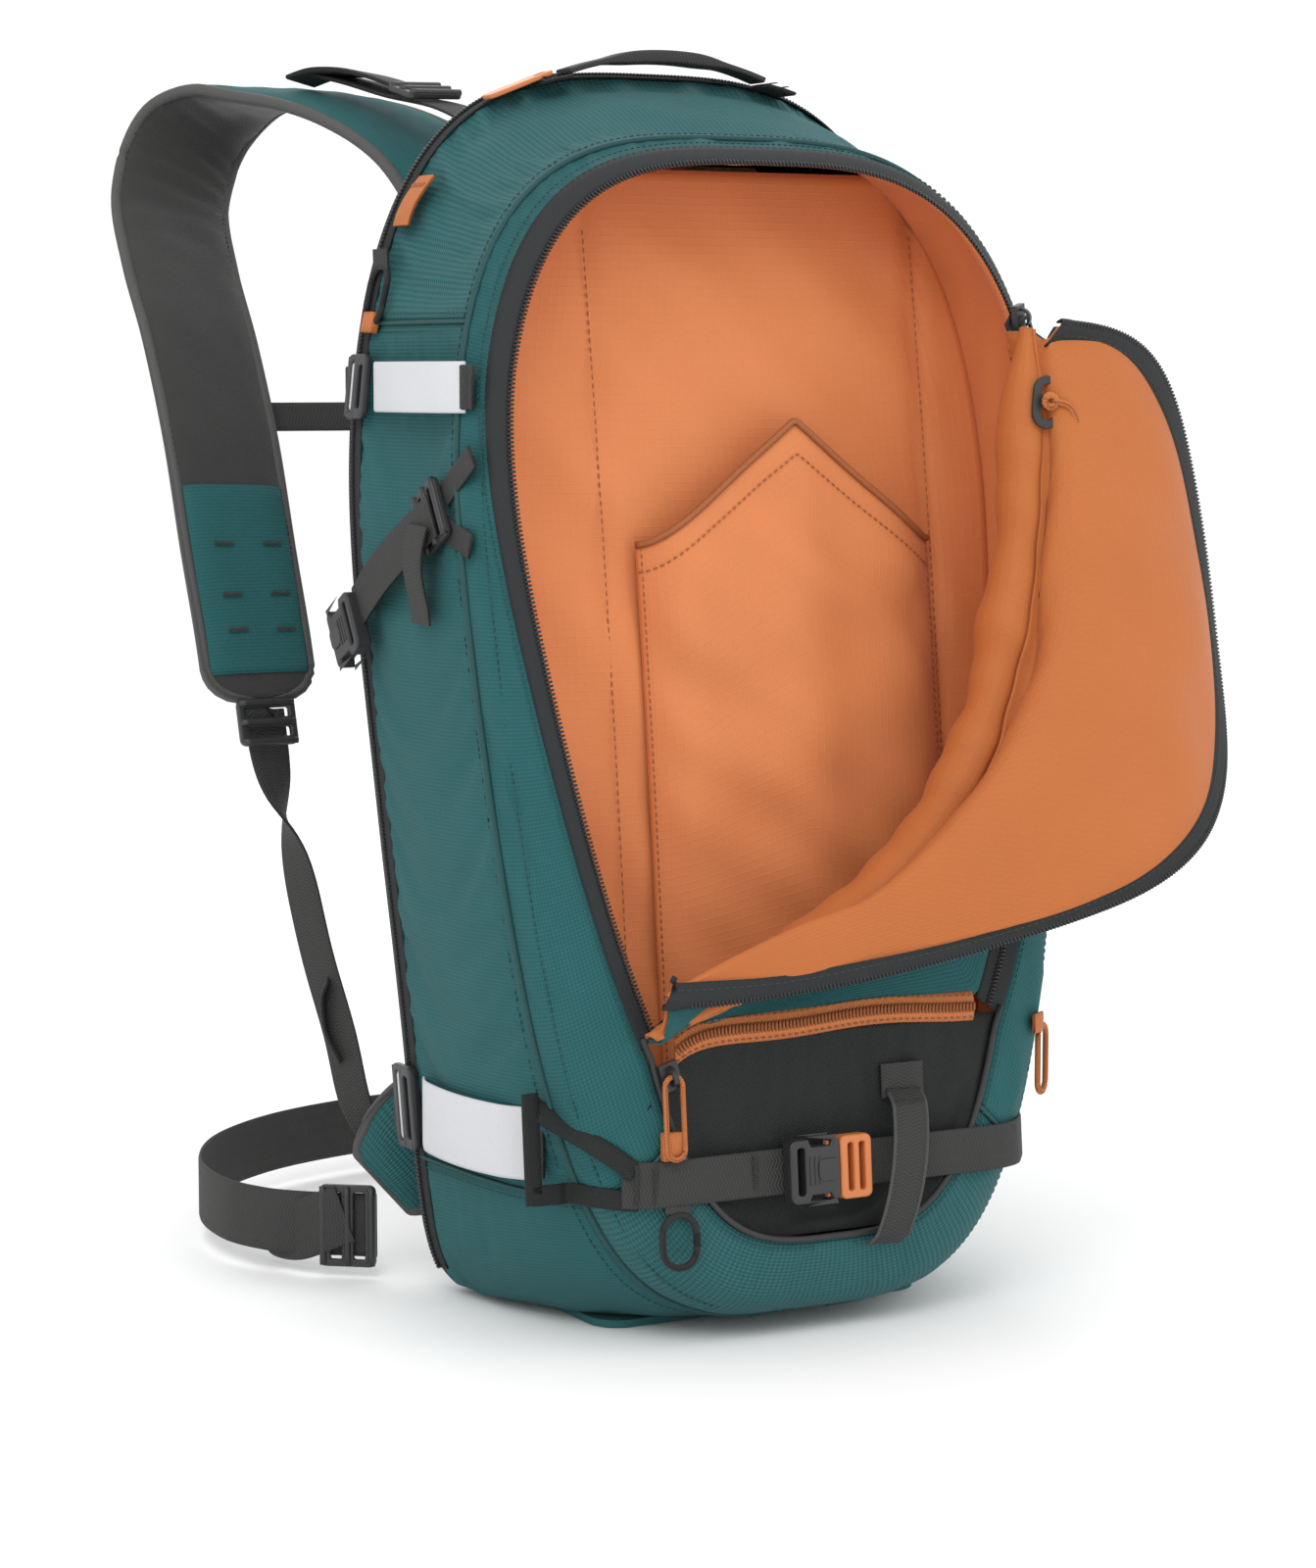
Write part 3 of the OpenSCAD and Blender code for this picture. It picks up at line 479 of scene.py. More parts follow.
def plate_mesh(name, loops, thick, bevel, at, x, z):
    """A moulded plate: outlines filled and raised by thick with rounded edges, put at a place with
    its own X along x and its thickness along z."""
    data = bpy.data.curves.new(name, "CURVE")
    data.dimensions = "2D"
    data.fill_mode = "BOTH"
    data.extrude = max(thick / 2 - bevel, 0)
    data.bevel_depth = bevel
    data.bevel_resolution = 2
    data.offset = -bevel
    for loop in loops:
        spline = data.splines.new("POLY")
        spline.points.add(len(loop) - 1)
        spline.points.foreach_set("co", np.c_[loop, np.zeros(len(loop)), np.ones(len(loop))].ravel())
        spline.use_cyclic_u = True
    obj = make_object(name, data)
    mesh = bpy.data.meshes.new_from_object(obj.evaluated_get(bpy.context.evaluated_depsgraph_get()))
    bpy.data.objects.remove(obj)
    bpy.data.curves.remove(data)
    zz = Vector(z).normalized()
    xx = (Vector(x) - zz * Vector(x).dot(zz)).normalized()
    yy = zz.cross(xx)
    mesh.transform(Matrix.Translation(Vector(at) + zz * thick / 2)
                   @ Matrix((xx, yy, zz)).transposed().to_4x4())
    mesh.polygons.foreach_set("use_smooth", [False] * len(mesh.polygons))
    return mesh


def rounded(l, w, r, at=(0, 0), n=6):
    """Outline of a rectangle l by w with corners of radius r."""
    a = np.linspace(0, pi / 2, n)
    parts = []
    for q, (sx, sy) in enumerate([(1, 1), (-1, 1), (-1, -1), (1, -1)]):
        parts.append(np.c_[sx * (l / 2 - r) + r * np.cos(a + q * pi / 2),
                           sy * (w / 2 - r) + r * np.sin(a + q * pi / 2)])
    return np.concatenate(parts) + np.asarray(at)


def circle(r, at=(0, 0), n=20):
    """n points of a circle: r cos a, r sin a."""
    a = np.linspace(0, 2 * pi, n, endpoint=False)
    return np.c_[r * np.cos(a), r * np.sin(a)] + np.asarray(at)


def join(name, meshes):
    """One object from several meshes, whose faces keep their UVs."""
    objs = [make_object(name + str(i), m) for i, m in enumerate(meshes)]
    if len(objs) > 1:
        with bpy.context.temp_override(active_object=objs[0], selected_editable_objects=objs, selected_objects=objs):
            bpy.ops.object.join()
    objs[0].name = name
    return objs[0]


# ---------------------------------------------------------------- materials

def add(tree, kind, inputs=None, **settings):
    """Adds a node, sets its attributes, and links or sets its inputs by name or number."""
    node = tree.nodes.new(kind)
    for key, value in settings.items():
        setattr(node, key, value)
    for key, value in (inputs or {}).items():
        if isinstance(value, bpy.types.NodeSocket):
            tree.links.new(value, node.inputs[key])
        else:
            node.inputs[key].default_value = value
    return node


def maths(tree, operation, a, b=0.5, c=0.5):
    """The result of a Math node on up to three values or sockets."""
    return add(tree, "ShaderNodeMath", {0: a, 1: b, 2: c}, operation=operation).outputs[0]


def uv_axes(tree, spacing_u, spacing_v):
    """Turns counted along the piece's own UV map: U / spacing and V / spacing, times 2 pi."""
    uv = add(tree, "ShaderNodeUVMap", uv_map="UVMap").outputs[0]
    axes = add(tree, "ShaderNodeSeparateXYZ", {0: uv})
    return (maths(tree, "MULTIPLY", axes.outputs[0], 2 * pi / spacing_u),
            maths(tree, "MULTIPLY", axes.outputs[1], 2 * pi / spacing_v))


def surface(name, tint, roughness, height=None, depth=0.0004, dark=0.72, light=1.12, metallic=0.0,
            sheen=0.0, cloud=0.10, cloud_size=0.05, specular=0.35):
    """A principled surface. Its tint is darkened and lightened by the height pattern and by soft clouds
    of handling marks; the same height drives the bump."""
    mat = bpy.data.materials.new(name)
    mat.use_nodes = True
    tree = mat.node_tree
    bsdf = tree.nodes["Principled BSDF"]
    bsdf.inputs["Roughness"].default_value = roughness
    bsdf.inputs["Metallic"].default_value = metallic
    bsdf.inputs["Specular IOR Level"].default_value = specular
    bsdf.inputs["Sheen Weight"].default_value = sheen
    bsdf.inputs["Sheen Roughness"].default_value = 0.45
    where = add(tree, "ShaderNodeTexCoord").outputs["Object"]
    clouds = add(tree, "ShaderNodeTexNoise", {"Vector": where, "Scale": 1 / cloud_size, "Detail": 4.0,
                                              "Roughness": 0.6}).outputs[0]
    level = maths(tree, "MULTIPLY_ADD", clouds, 2 * cloud, 1 - cloud)
    if height is None:
        height = lambda t: add(t, "ShaderNodeTexNoise", {"Vector": where, "Scale": 900.0, "Detail": 2.0}).outputs[0]
    relief = height(tree)
    tone = maths(tree, "MULTIPLY_ADD", relief, light - dark, dark)
    level = maths(tree, "MULTIPLY", level, tone)
    base = add(tree, "ShaderNodeVectorMath", {0: tuple(tint), 1: add(
        tree, "ShaderNodeCombineXYZ", {0: level, 1: level, 2: level}).outputs[0]}, operation="MULTIPLY").outputs[0]
    tree.links.new(base, bsdf.inputs["Base Color"])
    bump = add(tree, "ShaderNodeBump", {"Height": relief, "Strength": 1.0, "Distance": depth}).outputs[0]
    tree.links.new(bump, bsdf.inputs["Normal"])
    return mat


def plain_weave(spacing):
    """Over-and-under threads: 0.5 + 0.5 sin U sin V."""
    def height(tree):
        u, v = uv_axes(tree, spacing, spacing)
        product = maths(tree, "MULTIPLY", maths(tree, "SINE", u), maths(tree, "SINE", v))
        return maths(tree, "MULTIPLY_ADD", product, 0.5)
    return height


def ripstop(spacing, cell):
    """A fine weave with raised threads in a square grid: the larger of sin U and sin V to a high power."""
    def height(tree):
        u, v = uv_axes(tree, cell, cell)
        lines = maths(tree, "MAXIMUM", maths(tree, "SINE", u), maths(tree, "SINE", v))
        lines = maths(tree, "POWER", maths(tree, "MAXIMUM", lines, 0.0), 14.0)
        fine = maths(tree, "MULTIPLY", plain_weave(spacing)(tree), 0.35)
        return maths(tree, "MAXIMUM", lines, fine)
    return height


def basket(spacing):
    """Coarse diamonds: plain weave turned 45 degrees, as sin(U + V) sin(U - V)."""
    def height(tree):
        u, v = uv_axes(tree, spacing * 1.6, spacing)
        a = maths(tree, "SINE", maths(tree, "ADD", u, v))
        b = maths(tree, "SINE", maths(tree, "SUBTRACT", u, v))
        return maths(tree, "MULTIPLY_ADD", maths(tree, "MULTIPLY", a, b), 0.5)
    return height


def chevron(pitch, wide):
    """Webbing: ridges across the band that zigzag over its width, sin(U + 2.2 asin(sin V))."""
    def height(tree):
        u, v = uv_axes(tree, pitch, wide)
        zigzag = maths(tree, "MULTIPLY", maths(tree, "ARCSINE", maths(tree, "MULTIPLY",
                       maths(tree, "SINE", v), 0.999)), 2.2)
        return maths(tree, "MULTIPLY_ADD", maths(tree, "SINE", maths(tree, "ADD", u, zigzag)), 0.5)
    return height


def spacer_mesh(pitch):
    """Knitted spacer mesh: round holes in staggered rows, from the distance to the nearest cell centre."""
    def height(tree):
        where = add(tree, "ShaderNodeUVMap", uv_map="UVMap").outputs[0]
        cells = add(tree, "ShaderNodeTexVoronoi", {"Vector": where, "Scale": 1 / pitch, "Randomness": 0.15},
                    feature="F1", voronoi_dimensions="2D").outputs["Distance"]
        return maths(tree, "SMOOTH_MIN", maths(tree, "MULTIPLY", cells, 2.0), 1.0)
    return height


def twisted(pitch):
    """Braided cord: two crossing helices, sin(U + V) sin(U - V) on the cord's own UVs."""
    def height(tree):
        u, v = uv_axes(tree, pitch, pitch)
        a = maths(tree, "SINE", maths(tree, "ADD", u, v))
        b = maths(tree, "SINE", maths(tree, "SUBTRACT", u, v))
        return maths(tree, "ABSOLUTE", maths(tree, "MULTIPLY", a, b), 0.0)
    return height


MATERIALS = {}


def make_materials():
    c = colours()
    m = MATERIALS
    # Plain-woven coated nylon: matt, with a fine even grain. The real grain is under 1 mm and is drawn at
    # 2.1 mm so that it shows.
    m["teal"] = surface("woven_nylon_teal", c.teal, 0.78, basket(2.1 * MM), 0.0003, 0.74, 1.16, sheen=0.03,
                        specular=0.22)
    # Coarse basket weave: hard-wearing, with a pebbled diamond grain at a spacing of 3.4 mm.
    m["coarse"] = surface("basket_nylon_teal", c.teal_coarse, 0.72, basket(3.4 * MM), 0.0006, 0.62, 1.22,
                          sheen=0.03, specular=0.22)
    # Light ripstop lining: thin, slightly glossy, raised threads every 4 mm. Its tint is a little lighter than the
    # cloth, as painted light for the shade inside the pocket.
    m["lining"] = surface("lining_ripstop_painted_light", c.lining, 0.62, ripstop(1.3 * MM, 4 * MM), 0.0001, 0.97, 1.02, sheen=0.1,
                          cloud=0.07)
    # The flap's inner face: the same ripstop as the lining, its darker tint painted shade.
    m["flap"] = surface("flap_ripstop_painted_shade", c.flap, 0.66, ripstop(1.3 * MM, 4 * MM), 0.0001, 0.98, 1.02, sheen=0.05,
                        cloud=0.06)
    # Plain-woven nylon of the lower pocket: dark, matt, threads drawn at 1.6 mm.
    m["charcoal"] = surface("woven_nylon_charcoal", c.charcoal, 0.6, plain_weave(1.6 * MM), 0.0003, 0.72, 1.2,
                            specular=0.25)
    # Polypropylene webbing: chevron ribs 1.7 mm apart.
    m["webbing"] = surface("webbing_dark", c.webbing, 0.7, chevron(1.7 * MM, 7 * MM), 0.00025, 0.80, 1.12,
                           specular=0.25)
    # Pale webbing: smoother, with a faint even weave.
    m["pale"] = surface("webbing_pale", c.pale, 0.55, plain_weave(1.3 * MM), 0.0001, 0.95, 1.03, cloud=0.04)
    # Moulded acetal: fine spark-eroded grain, low sheen.
    m["plastic"] = surface("moulded_acetal_dark", c.plastic, 0.42, None, 0.00005, 0.9, 1.1, specular=0.5)
    m["accent_plastic"] = surface("moulded_acetal_orange", c.accent, 0.42, None, 0.00005, 0.95, 1.05, specular=0.5)
    # Woven zip tape: matt, fine threads. Nylon coil: smooth and slightly glossy.
    m["tape"] = surface("zip_tape_dark", c.tape, 0.68, plain_weave(1.6 * MM), 0.0002, 0.8, 1.2)
    m["orange_tape"] = surface("zip_tape_orange", c.accent, 0.6, plain_weave(1.6 * MM), 0.0002, 0.88, 1.08)
    m["coil"] = surface("zip_coil", c.plastic, 0.4, None, 0.00003)
    m["orange_coil"] = surface("zip_coil_orange", tuple(0.6 * v for v in c.accent), 0.4, None, 0.00003)
    # Padded knit over foam: open spacer mesh, holes 4.5 mm apart.
    m["mesh"] = surface("spacer_mesh", tuple(0.95 * v for v in c.webbing), 0.85, spacer_mesh(4.5 * MM), 0.0012,
                        0.45, 1.25, sheen=0.2)
    # Brushed tricot and folded edge binding: soft, dull, with a slight nap.
    m["foam"] = surface("brushed_tricot", tuple(0.8 * v for v in c.webbing), 0.88, plain_weave(1.4 * MM), 0.0002,
                        0.8, 1.15, sheen=0.3)
    m["binding"] = surface("edge_binding", tuple(2.0 * v for v in c.webbing), 0.75, plain_weave(1.5 * MM), 0.0002,
                           0.75, 1.15)
    # Braided cord: crossing strands 3 mm apart. Sewing thread: thin, slightly shiny.
    m["accent_cord"] = surface("braided_cord_orange", c.accent, 0.7, twisted(3 * MM), 0.0003, 0.75, 1.15)
    m["dark_cord"] = surface("braided_cord_dark", c.plastic, 0.7, twisted(3 * MM), 0.0003, 0.6, 1.3)
    m["thread"] = surface("sewing_thread_teal", tuple(0.62 * v for v in c.teal), 0.6, None, 0.00003)
    m["dark_thread"] = surface("sewing_thread_dark", tuple(0.9 * v for v in c.webbing), 0.6, None, 0.00003)
    m["lining_thread"] = surface("sewing_thread_orange", tuple(0.55 * v for v in c.lining), 0.6, None, 0.00003)
    # Anodised aluminium bar and milky polyethylene sheet, both hidden inside the back panel.
    m["alloy"] = surface("anodised_aluminium", (0.6, 0.6, 0.62), 0.35, None, 0.00003, metallic=1.0)
    m["sheet"] = surface("polyethylene_sheet", (0.6, 0.6, 0.57), 0.5, None, 0.00003)


def piece(name, mesh, material, body="pack", replaces=()):
    """Makes one visible piece, dresses it, and makes it ride on its body and stand for its frame nodes."""
    obj = make_object(name, mesh) if isinstance(mesh, bpy.types.Mesh) else mesh
    obj.name = name
    obj.data.materials.clear()
    obj.data.materials.append(MATERIALS[material])
    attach(obj, body)
    if replaces:
        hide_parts(*replaces)
    return obj


# ---------------------------------------------------------------- cloth

def wrinkles(p, amount, size, seed, flow=(1.0, 1.0)):
    """Soft creases: a sum of 14 plane sine waves whose directions and phases come from a seeded draw,
    faded to nothing at the rim so that seams stay put."""
    rng = np.random.default_rng(seed)
    n, m = p.shape[:2]
    u, v = params(n, m)
    total = np.zeros((n, m))
    for i in range(14):
        way = unit(rng.normal(size=3) * np.array([flow[0], flow[0], flow[1]]))
        wave = (2 * pi / size) * rng.uniform(0.6, 1.8)
        total += np.sin((p @ way) * wave + rng.uniform(0, 2 * pi)) / (i + 2)
    fade = ease(np.minimum(np.minimum(u, 1 - u), np.minimum(v, 1 - v)) * 9)
    return total * fade * amount


SIMULATED = []


def slack_cloth(name, p, s, grow, push):
    """A panel that is sewn down at its rim and cut slightly too large: its grid is set up as cloth,
    pinned round the edge, and settled later together with the others."""
    n, m = p.shape[:2]
    faces = grid_faces(n, m)
    if s < 0:
        faces = faces[:, ::-1]
    obj = make_object(name, new_mesh(name, p.reshape(-1, 3), faces.tolist()))
    idx = np.arange(n * m).reshape(n, m)
    rim = np.unique(np.concatenate([idx[:2].ravel(), idx[-2:].ravel(), idx[:, :2].ravel(), idx[:, -2:].ravel()]))
    obj.vertex_groups.new(name="seam").add(rim.tolist(), 1.0, "REPLACE")
    cloth = obj.modifiers.new("Cloth", "CLOTH").settings
    cloth.quality = 5
    cloth.mass = 0.15
    cloth.tension_stiffness = 12
    cloth.compression_stiffness = 12
    cloth.shear_stiffness = 6
    cloth.bending_stiffness = 1.2
    cloth.vertex_group_mass = "seam"
    cloth.shrink_min = -grow
    cloth.shrink_max = -grow
    cloth.use_pressure = True
    cloth.uniform_pressure_force = push
    cloth.effector_weights.gravity = 0.25
    SIMULATED.append((obj, n, m))
    return obj


def settle_cloth(frames=22):
    """Steps all slack panels together and returns each one's settled grid."""
    scene = bpy.context.scene
    for f in range(1, frames + 1):
        scene.frame_set(f)
    graph = bpy.context.evaluated_depsgraph_get()
    grids = {}
    for obj, n, m in SIMULATED:
        settled = obj.evaluated_get(graph)
        co = np.zeros(n * m * 3, np.float32)
        settled.data.vertices.foreach_get("co", co)
        grids[obj.name] = co.reshape(n, m, 3).astype(float)
        mesh = obj.data
        bpy.data.objects.remove(obj)
        bpy.data.meshes.remove(mesh)
    SIMULATED.clear()
    scene.frame_set(1)
    return grids


def capped(moved, start, limit):
    """The settled grid, no point of which may lie further than limit from where it began."""
    step = moved - start
    size = np.linalg.norm(step, axis=-1, keepdims=True)
    return start + step * np.minimum(1, limit / np.maximum(size, 1e-9))


def panel_grids():
    """The shell's panels: name, grid, outward sign, node, material, extra cut and inflation."""
    rows = []
    u, v = params(90, 44)
    z = mix(BOOT_Z + 0.0004, YOKE_Z - 0.0004, u)
    side = gusset_pt(angle_at(z, 0, v), v)
    rows.append(("side_cloth_right", side, -1, "side_panel_right", "teal", 0.010, 1.0))
    rows.append(("side_cloth_left", side * [-1, 1, 1], 1, "side_panel_left", "teal", 0.010, 1.0))
    u, v = params(110, 34)
    a = angle_at(YOKE_Z + 0.0004, 0, v)
    rows.append(("yoke_cloth", gusset_pt(mix(a, pi - a, u), v), -1, "top_yoke", "coarse", 0.006, 0.6))
    a = angle_at(BOOT_Z - 0.0004, 0, v)
    rows.append(("boot_cloth", gusset_pt(mix(a, -pi - a, u), v), 1, "bottom_boot", "teal", 0.003, 0.2))
    u, v = params(170, 16)
    a0 = angle_at(BOOT_Z + 0.0004, 0, 0)
    a = mix(a0, pi - a0, u)
    rows.append(("border_cloth", front_pt(a, zip_d(a) * (1 - np.cos(pi / 2 * v))), 1, "front_border", "teal",
                 0.003, 0.2))
    u, v = params(90, 18)
    a0 = angle_at(BOOT_Z - 0.0004, 0, 0)
    a = mix(a0, -pi - a0, u)
    rows.append(("front_boot_cloth", front_pt(a, zip_d(a) * (1 - np.cos(pi / 2 * v))), -1, "front_boot", "coarse",
                 0.003, 0.2))
    u, v = params(64, 34)
    z = mix(FOOT_Z, LOW_ZIP_Z - 0.005, v)
    x = half_at(z, inset_at(z, 0.0004), 0) * mix(-1, 1, u)
    z = z + (low_zip_z(x) - LOW_ZIP_Z) * v ** 2
    rows.append(("lower_pocket_cloth", face_at(x, z), 1, "lower_front_panel", "charcoal", 0.016, 2.0))
    return rows


def make_panels():
    """Cuts, settles and thickens every shell panel."""
    rows = panel_grids()
    settled = {}
    for name, p, s, node, material, grow, push in rows:
        slack_cloth(name, p, s, grow, push)
    settled = settle_cloth()
    for i, (name, p, s, node, material, grow, push) in enumerate(rows):
        q = capped(settled[name], p, 0.006) if name in settled else p
        q = q + normals(q) * s * wrinkles(q, 0.0006, 0.05, 11 + i)[..., None]
        piece(name, sheet_mesh(name, q, shape().cloth, s), material, "pack", (node,))


# ---------------------------------------------------------------- seams

def stitch_row(name, path, out, material, body="pack", pitch=0.0034):
    """Topstitching: one rounded thread length per pitch, lying on the cloth along the path."""
    pts, along = resample(path, pitch)
    outs = np.asarray(out, float)
    if outs.ndim == 2:
        s = np.linspace(0, 1, len(outs))
        outs = np.stack([np.interp(np.linspace(0, 1, len(pts)), s, outs[:, i]) for i in range(3)], -1)
    return piece(name, beads_mesh(name, pts + unit(np.broadcast_to(outs, pts.shape)) * 0.0003, along, outs,
                                  (0.36 * pitch, 0.00042, 0.00034)), material, body)


def make_seams():
    """Piping and rows of stitches along the bag's seams."""
    a = np.linspace(-pi / 2 + 0.02, 1.5 * pi - 0.02, 420)
    rim = front_pt(a, 0 * a)
    out = unit(np.stack([np.gradient(rim[:, 2]), -0.9 * np.linalg.norm(np.gradient(rim, axis=0), axis=1),
                         -np.gradient(rim[:, 0])], -1))
    piece("front_piping", tube_mesh("front_piping", rim + out * 0.0007, 0.0016, 10), "thread")
    stitch_row("front_stitch", front_pt(a, 0 * a + 0.004), out, "thread")
    k = np.full_like(a, 0.05)
    stitch_row("gusset_stitch", gusset_pt(a, k), unit(out * [1, 0, 1]), "thread")
    k = np.linspace(0, 1, 40)
    for s, side in ((-1, "left"), (1, "right")):
        for z, seam in ((YOKE_Z, "yoke"), (BOOT_Z, "boot")):
            line = gusset_pt(angle_at(z, 0, k), k) * [s, 1, 1] + np.array([s * 0.0004, 0, 0])
            piece(f"{seam}_seam_{side}", tube_mesh("seam", line, 0.0011), "thread")
            for dz in (-0.004, 0.004):
                stitch_row(f"{seam}_stitch_{side}_{'low' if dz < 0 else 'high'}", line + [s * 0.0002, 0, dz],
                           (s, 0, 0), "thread")
        d = zip_inset(BOOT_Z) * (1 - np.cos(pi / 2 * np.linspace(0, 1, 24)))
        foot = front_pt(angle_at(BOOT_Z, 0, 0) + 0 * d, d) * [s, 1, 1]
        piece(f"front_boot_seam_{side}", tube_mesh("seam", foot + np.array([0, -0.0006, 0]), 0.0011), "thread")
    inner = front_pt(a, zip_d(a) - 0.003)
    stitch_row("zip_stitch", inner + [0, -0.0008, 0], (0, -1, 0), "thread", pitch=0.003)
    foot = mix(-pi / 2 - 1.1, -pi / 2 + 1.1, np.linspace(0, 1, 80))
    line = front_pt(foot, zip_d(foot) + 0.001)
    piece("pocket_foot_seam", tube_mesh("seam", line + np.array([0, -0.0012, 0]), 0.0014), "dark_thread")


# ---------------------------------------------------------------- zips

def ribbon_grid(a, d0, d1, lift):
    """A tape on the front face between two insets, standing off by lift along the face's own outward direction."""
    v = np.linspace(0, 1, 5)
    aa, vv = np.meshgrid(a, v, indexing="ij")
    p = front_pt(aa, mix(d0, d1, vv) + zip_d(aa))
    return p + normals(p) * lift


def teeth(name, path, out, material, body="pack", pitch=0.0018, wide=0.0017):
    """Zip coil: rounded teeth across the line, one per pitch."""
    pts, along = resample(path, pitch)
    outs = np.broadcast_to(np.asarray(out, float), path.shape)
    s = np.linspace(0, 1, len(outs))
    outs = unit(np.stack([np.interp(np.linspace(0, 1, len(pts)), s, outs[:, i]) for i in range(3)], -1))
    return piece(name, beads_mesh(name, pts + outs * 0.0006, along, outs, (0.34 * pitch, wide, 0.0009), 3.0),
                 material, body)


def make_zips():
    """The main zip's outer tape all round, its closed stretches with both tapes, and the lower orange zip."""
    a_low = angle_at(0.112, 0, 0)
    a_right = angle_at(ZIP_TOP_Z + 0.010, 0, 0)
    a_left = pi - angle_at(0.122 - 0.006, 0, 0)
    a = np.linspace(a_low, pi - a_low, 320)
    piece("main_zip_tape", sheet_mesh("main_zip_tape", ribbon_grid(a, -0.001, 0.0062, 0.0004), 0.0008, 1), "tape",
          "pack", ("front_zip",))
    mid = front_pt(a, zip_d(a) + 0.0066)
    out = unit(np.cross(np.gradient(mid, axis=0), np.gradient(ribbon_grid(a, 0.005, 0.008, 0), axis=1)[:, 2]))
    teeth("main_zip_teeth", mid, out, "coil")
    a = np.linspace(a_low, a_right, 120)
    piece("main_zip_inner_right", sheet_mesh("t", ribbon_grid(a, 0.007, 0.0135, 0.0004), 0.0008, 1), "tape")
    a = np.linspace(a_left, pi - a_low, 12)
    piece("main_zip_inner_left", sheet_mesh("t", ribbon_grid(a, 0.007, 0.0135, 0.0004), 0.0008, 1), "tape")
    x1 = half_at(LOW_ZIP_Z, inset_at(LOW_ZIP_Z, TAPE_W), 0) - 0.001
    x, v = np.meshgrid(np.linspace(-x1, x1, 120), np.linspace(-1, 1, 9), indexing="ij")
    z = low_zip_z(x) + 0.0066 * v + 0.0012 * np.sin(x * 60)
    p = face_at(x, z) + stack(0 * x, -0.0012 - 0.0016 * (1 - v ** 2), 0 * x)
    piece("lower_zip_tape", sheet_mesh("t", p, 0.0009, 1), "orange_tape", "pack", ("lower_zip",))
    teeth("lower_zip_teeth", p[:, 4] + [0, -0.0002, 0], (0, -1, 0), "orange_coil", wide=0.0026)
    for j, name in ((1, "low"), (7, "high")):
        stitch_row(f"lower_zip_stitch_{name}", p[:, j] + [0, -0.0003, 0], (0, -1, 0), "lining_thread")


# ---------------------------------------------------------------- pocket

def make_pocket():
    """The pocket's orange lining walls, its divider and the peaked tool sleeve."""
    a0 = angle_at(0.150, 0, 0)
    u, t = params(230, 26)
    a = mix(a0, pi - a0 + 0.10, u)
    k = 0.26 * t
    d = mix(zip_d(a) + 0.0072, 0.0095, ease(t * 3.2))
    x, z = outline(a, d, k)
    front = front_pt(a, zip_d(a) + 0.0072)
    y = mix(front[..., 1] + 0.0008, pocket_y(z) + 0.002, t)
    p = stack(x, y, z)
    p = p + normals(p) * wrinkles(p, 0.0016, 0.045, 5, (1.0, 0.5))[..., None]
    piece("pocket_wall", sheet_mesh("pocket_wall", p, 0.0006, 1), "lining")
    v, u = params(90, 60)
    z = mix(0.032, 0.512, v)
    x = half_at(z, 0.0085, 0.3) * mix(-1, 1, u)
    p = stack(x, pocket_y(z) + 0 * x, z)
    p = p + stack(0 * x, wrinkles(p, 0.0022, 0.07, 8), 0 * x)
    p[..., 1] += sum(0.0025 * np.exp(-((x - x0) / 0.004) ** 2) for x0 in DIVIDER_SEAMS)
    divider = piece("pocket_lining", sheet_mesh("pocket_lining", p, 0.0006, -1), "lining", "pack", ("pocket_divider",))
    for x0, name in zip(DIVIDER_SEAMS, ("left", "right")):
        z = np.linspace(0.13, 0.485, 160)
        line = stack(x0 + 0 * z, pocket_y(z) + 0.0005, z)
        stitch_row(f"divider_seam_{name}", line, (0, -1, 0), "lining_thread", pitch=0.004)
    u, v = params(84, 60)
    x = mix(-0.050, 0.104, u)
    tent = 1 - np.abs(2 * u - 1)
    top = 0.345 + 0.055 * (np.sqrt(tent ** 2 + 0.01) - 0.1) / 0.905
    z = mix(0.110, top, v)
    swell = 1 - np.abs(2 * u - 1) ** 4
    p = stack(x, pocket_y(z) - 0.003 - 0.015 * swell * (0.75 + 0.25 * v), z)
    p = p + stack(0 * x, wrinkles(p, 0.0022, 0.05, 21), 0 * x)
    p[..., 1] -= 0.0022 * np.sin(u * pi * 5) * ease(v * 1.5) * (1 - 0.4 * v)
    sleeve = piece("tool_sleeve_cloth", sheet_mesh("s", p, 0.0007, 1), "lining", "pack", ("tool_sleeve",))
    hem = p[:, -1] + [0, -0.0006, 0.0002]
    piece("sleeve_hem", tube_mesh("hem", hem, 0.0016), "lining_thread")
    stitch_row("sleeve_hem_stitch", p[:, -4] + [0, -0.0004, 0], (0, -1, 0), "lining_thread")
    for j, name in ((1, "left"), (-2, "right")):
        stitch_row(f"sleeve_side_{name}", p[j] + [0, -0.0004, 0], (0, -1, 0), "lining_thread")


# ---------------------------------------------------------------- the folding front panel

def hinge_frame():
    """The fold's axis: its two ends, its direction, the way towards the lower right, and the way forwards."""
    joint = JOINTS["flap_fold"]
    a = np.array(joint["pos_m"])
    axis = unit(np.array(joint["axis"]))
    b = a + axis * (FLAP_FOOT_Z - a[2]) / axis[2]
    e1 = unit(np.array([-axis[2], 0, axis[0]]))
    e1 = unit(e1 - axis * (e1 @ axis))
    n = np.cross(axis, e1)
    return a, b, axis, e1, n if n[1] < 0 else -n


def turned(p, point, axis, angle):
    """Rodrigues' rotation: v cos + (k x v) sin + k (k.v)(1 - cos)."""
    v = p - point
    k = np.broadcast_to(axis, v.shape)
    dot = (v * k).sum(-1, keepdims=True)
    return point + v * np.cos(angle) + np.cross(k, v) * np.sin(angle) + k * dot * (1 - np.cos(angle))


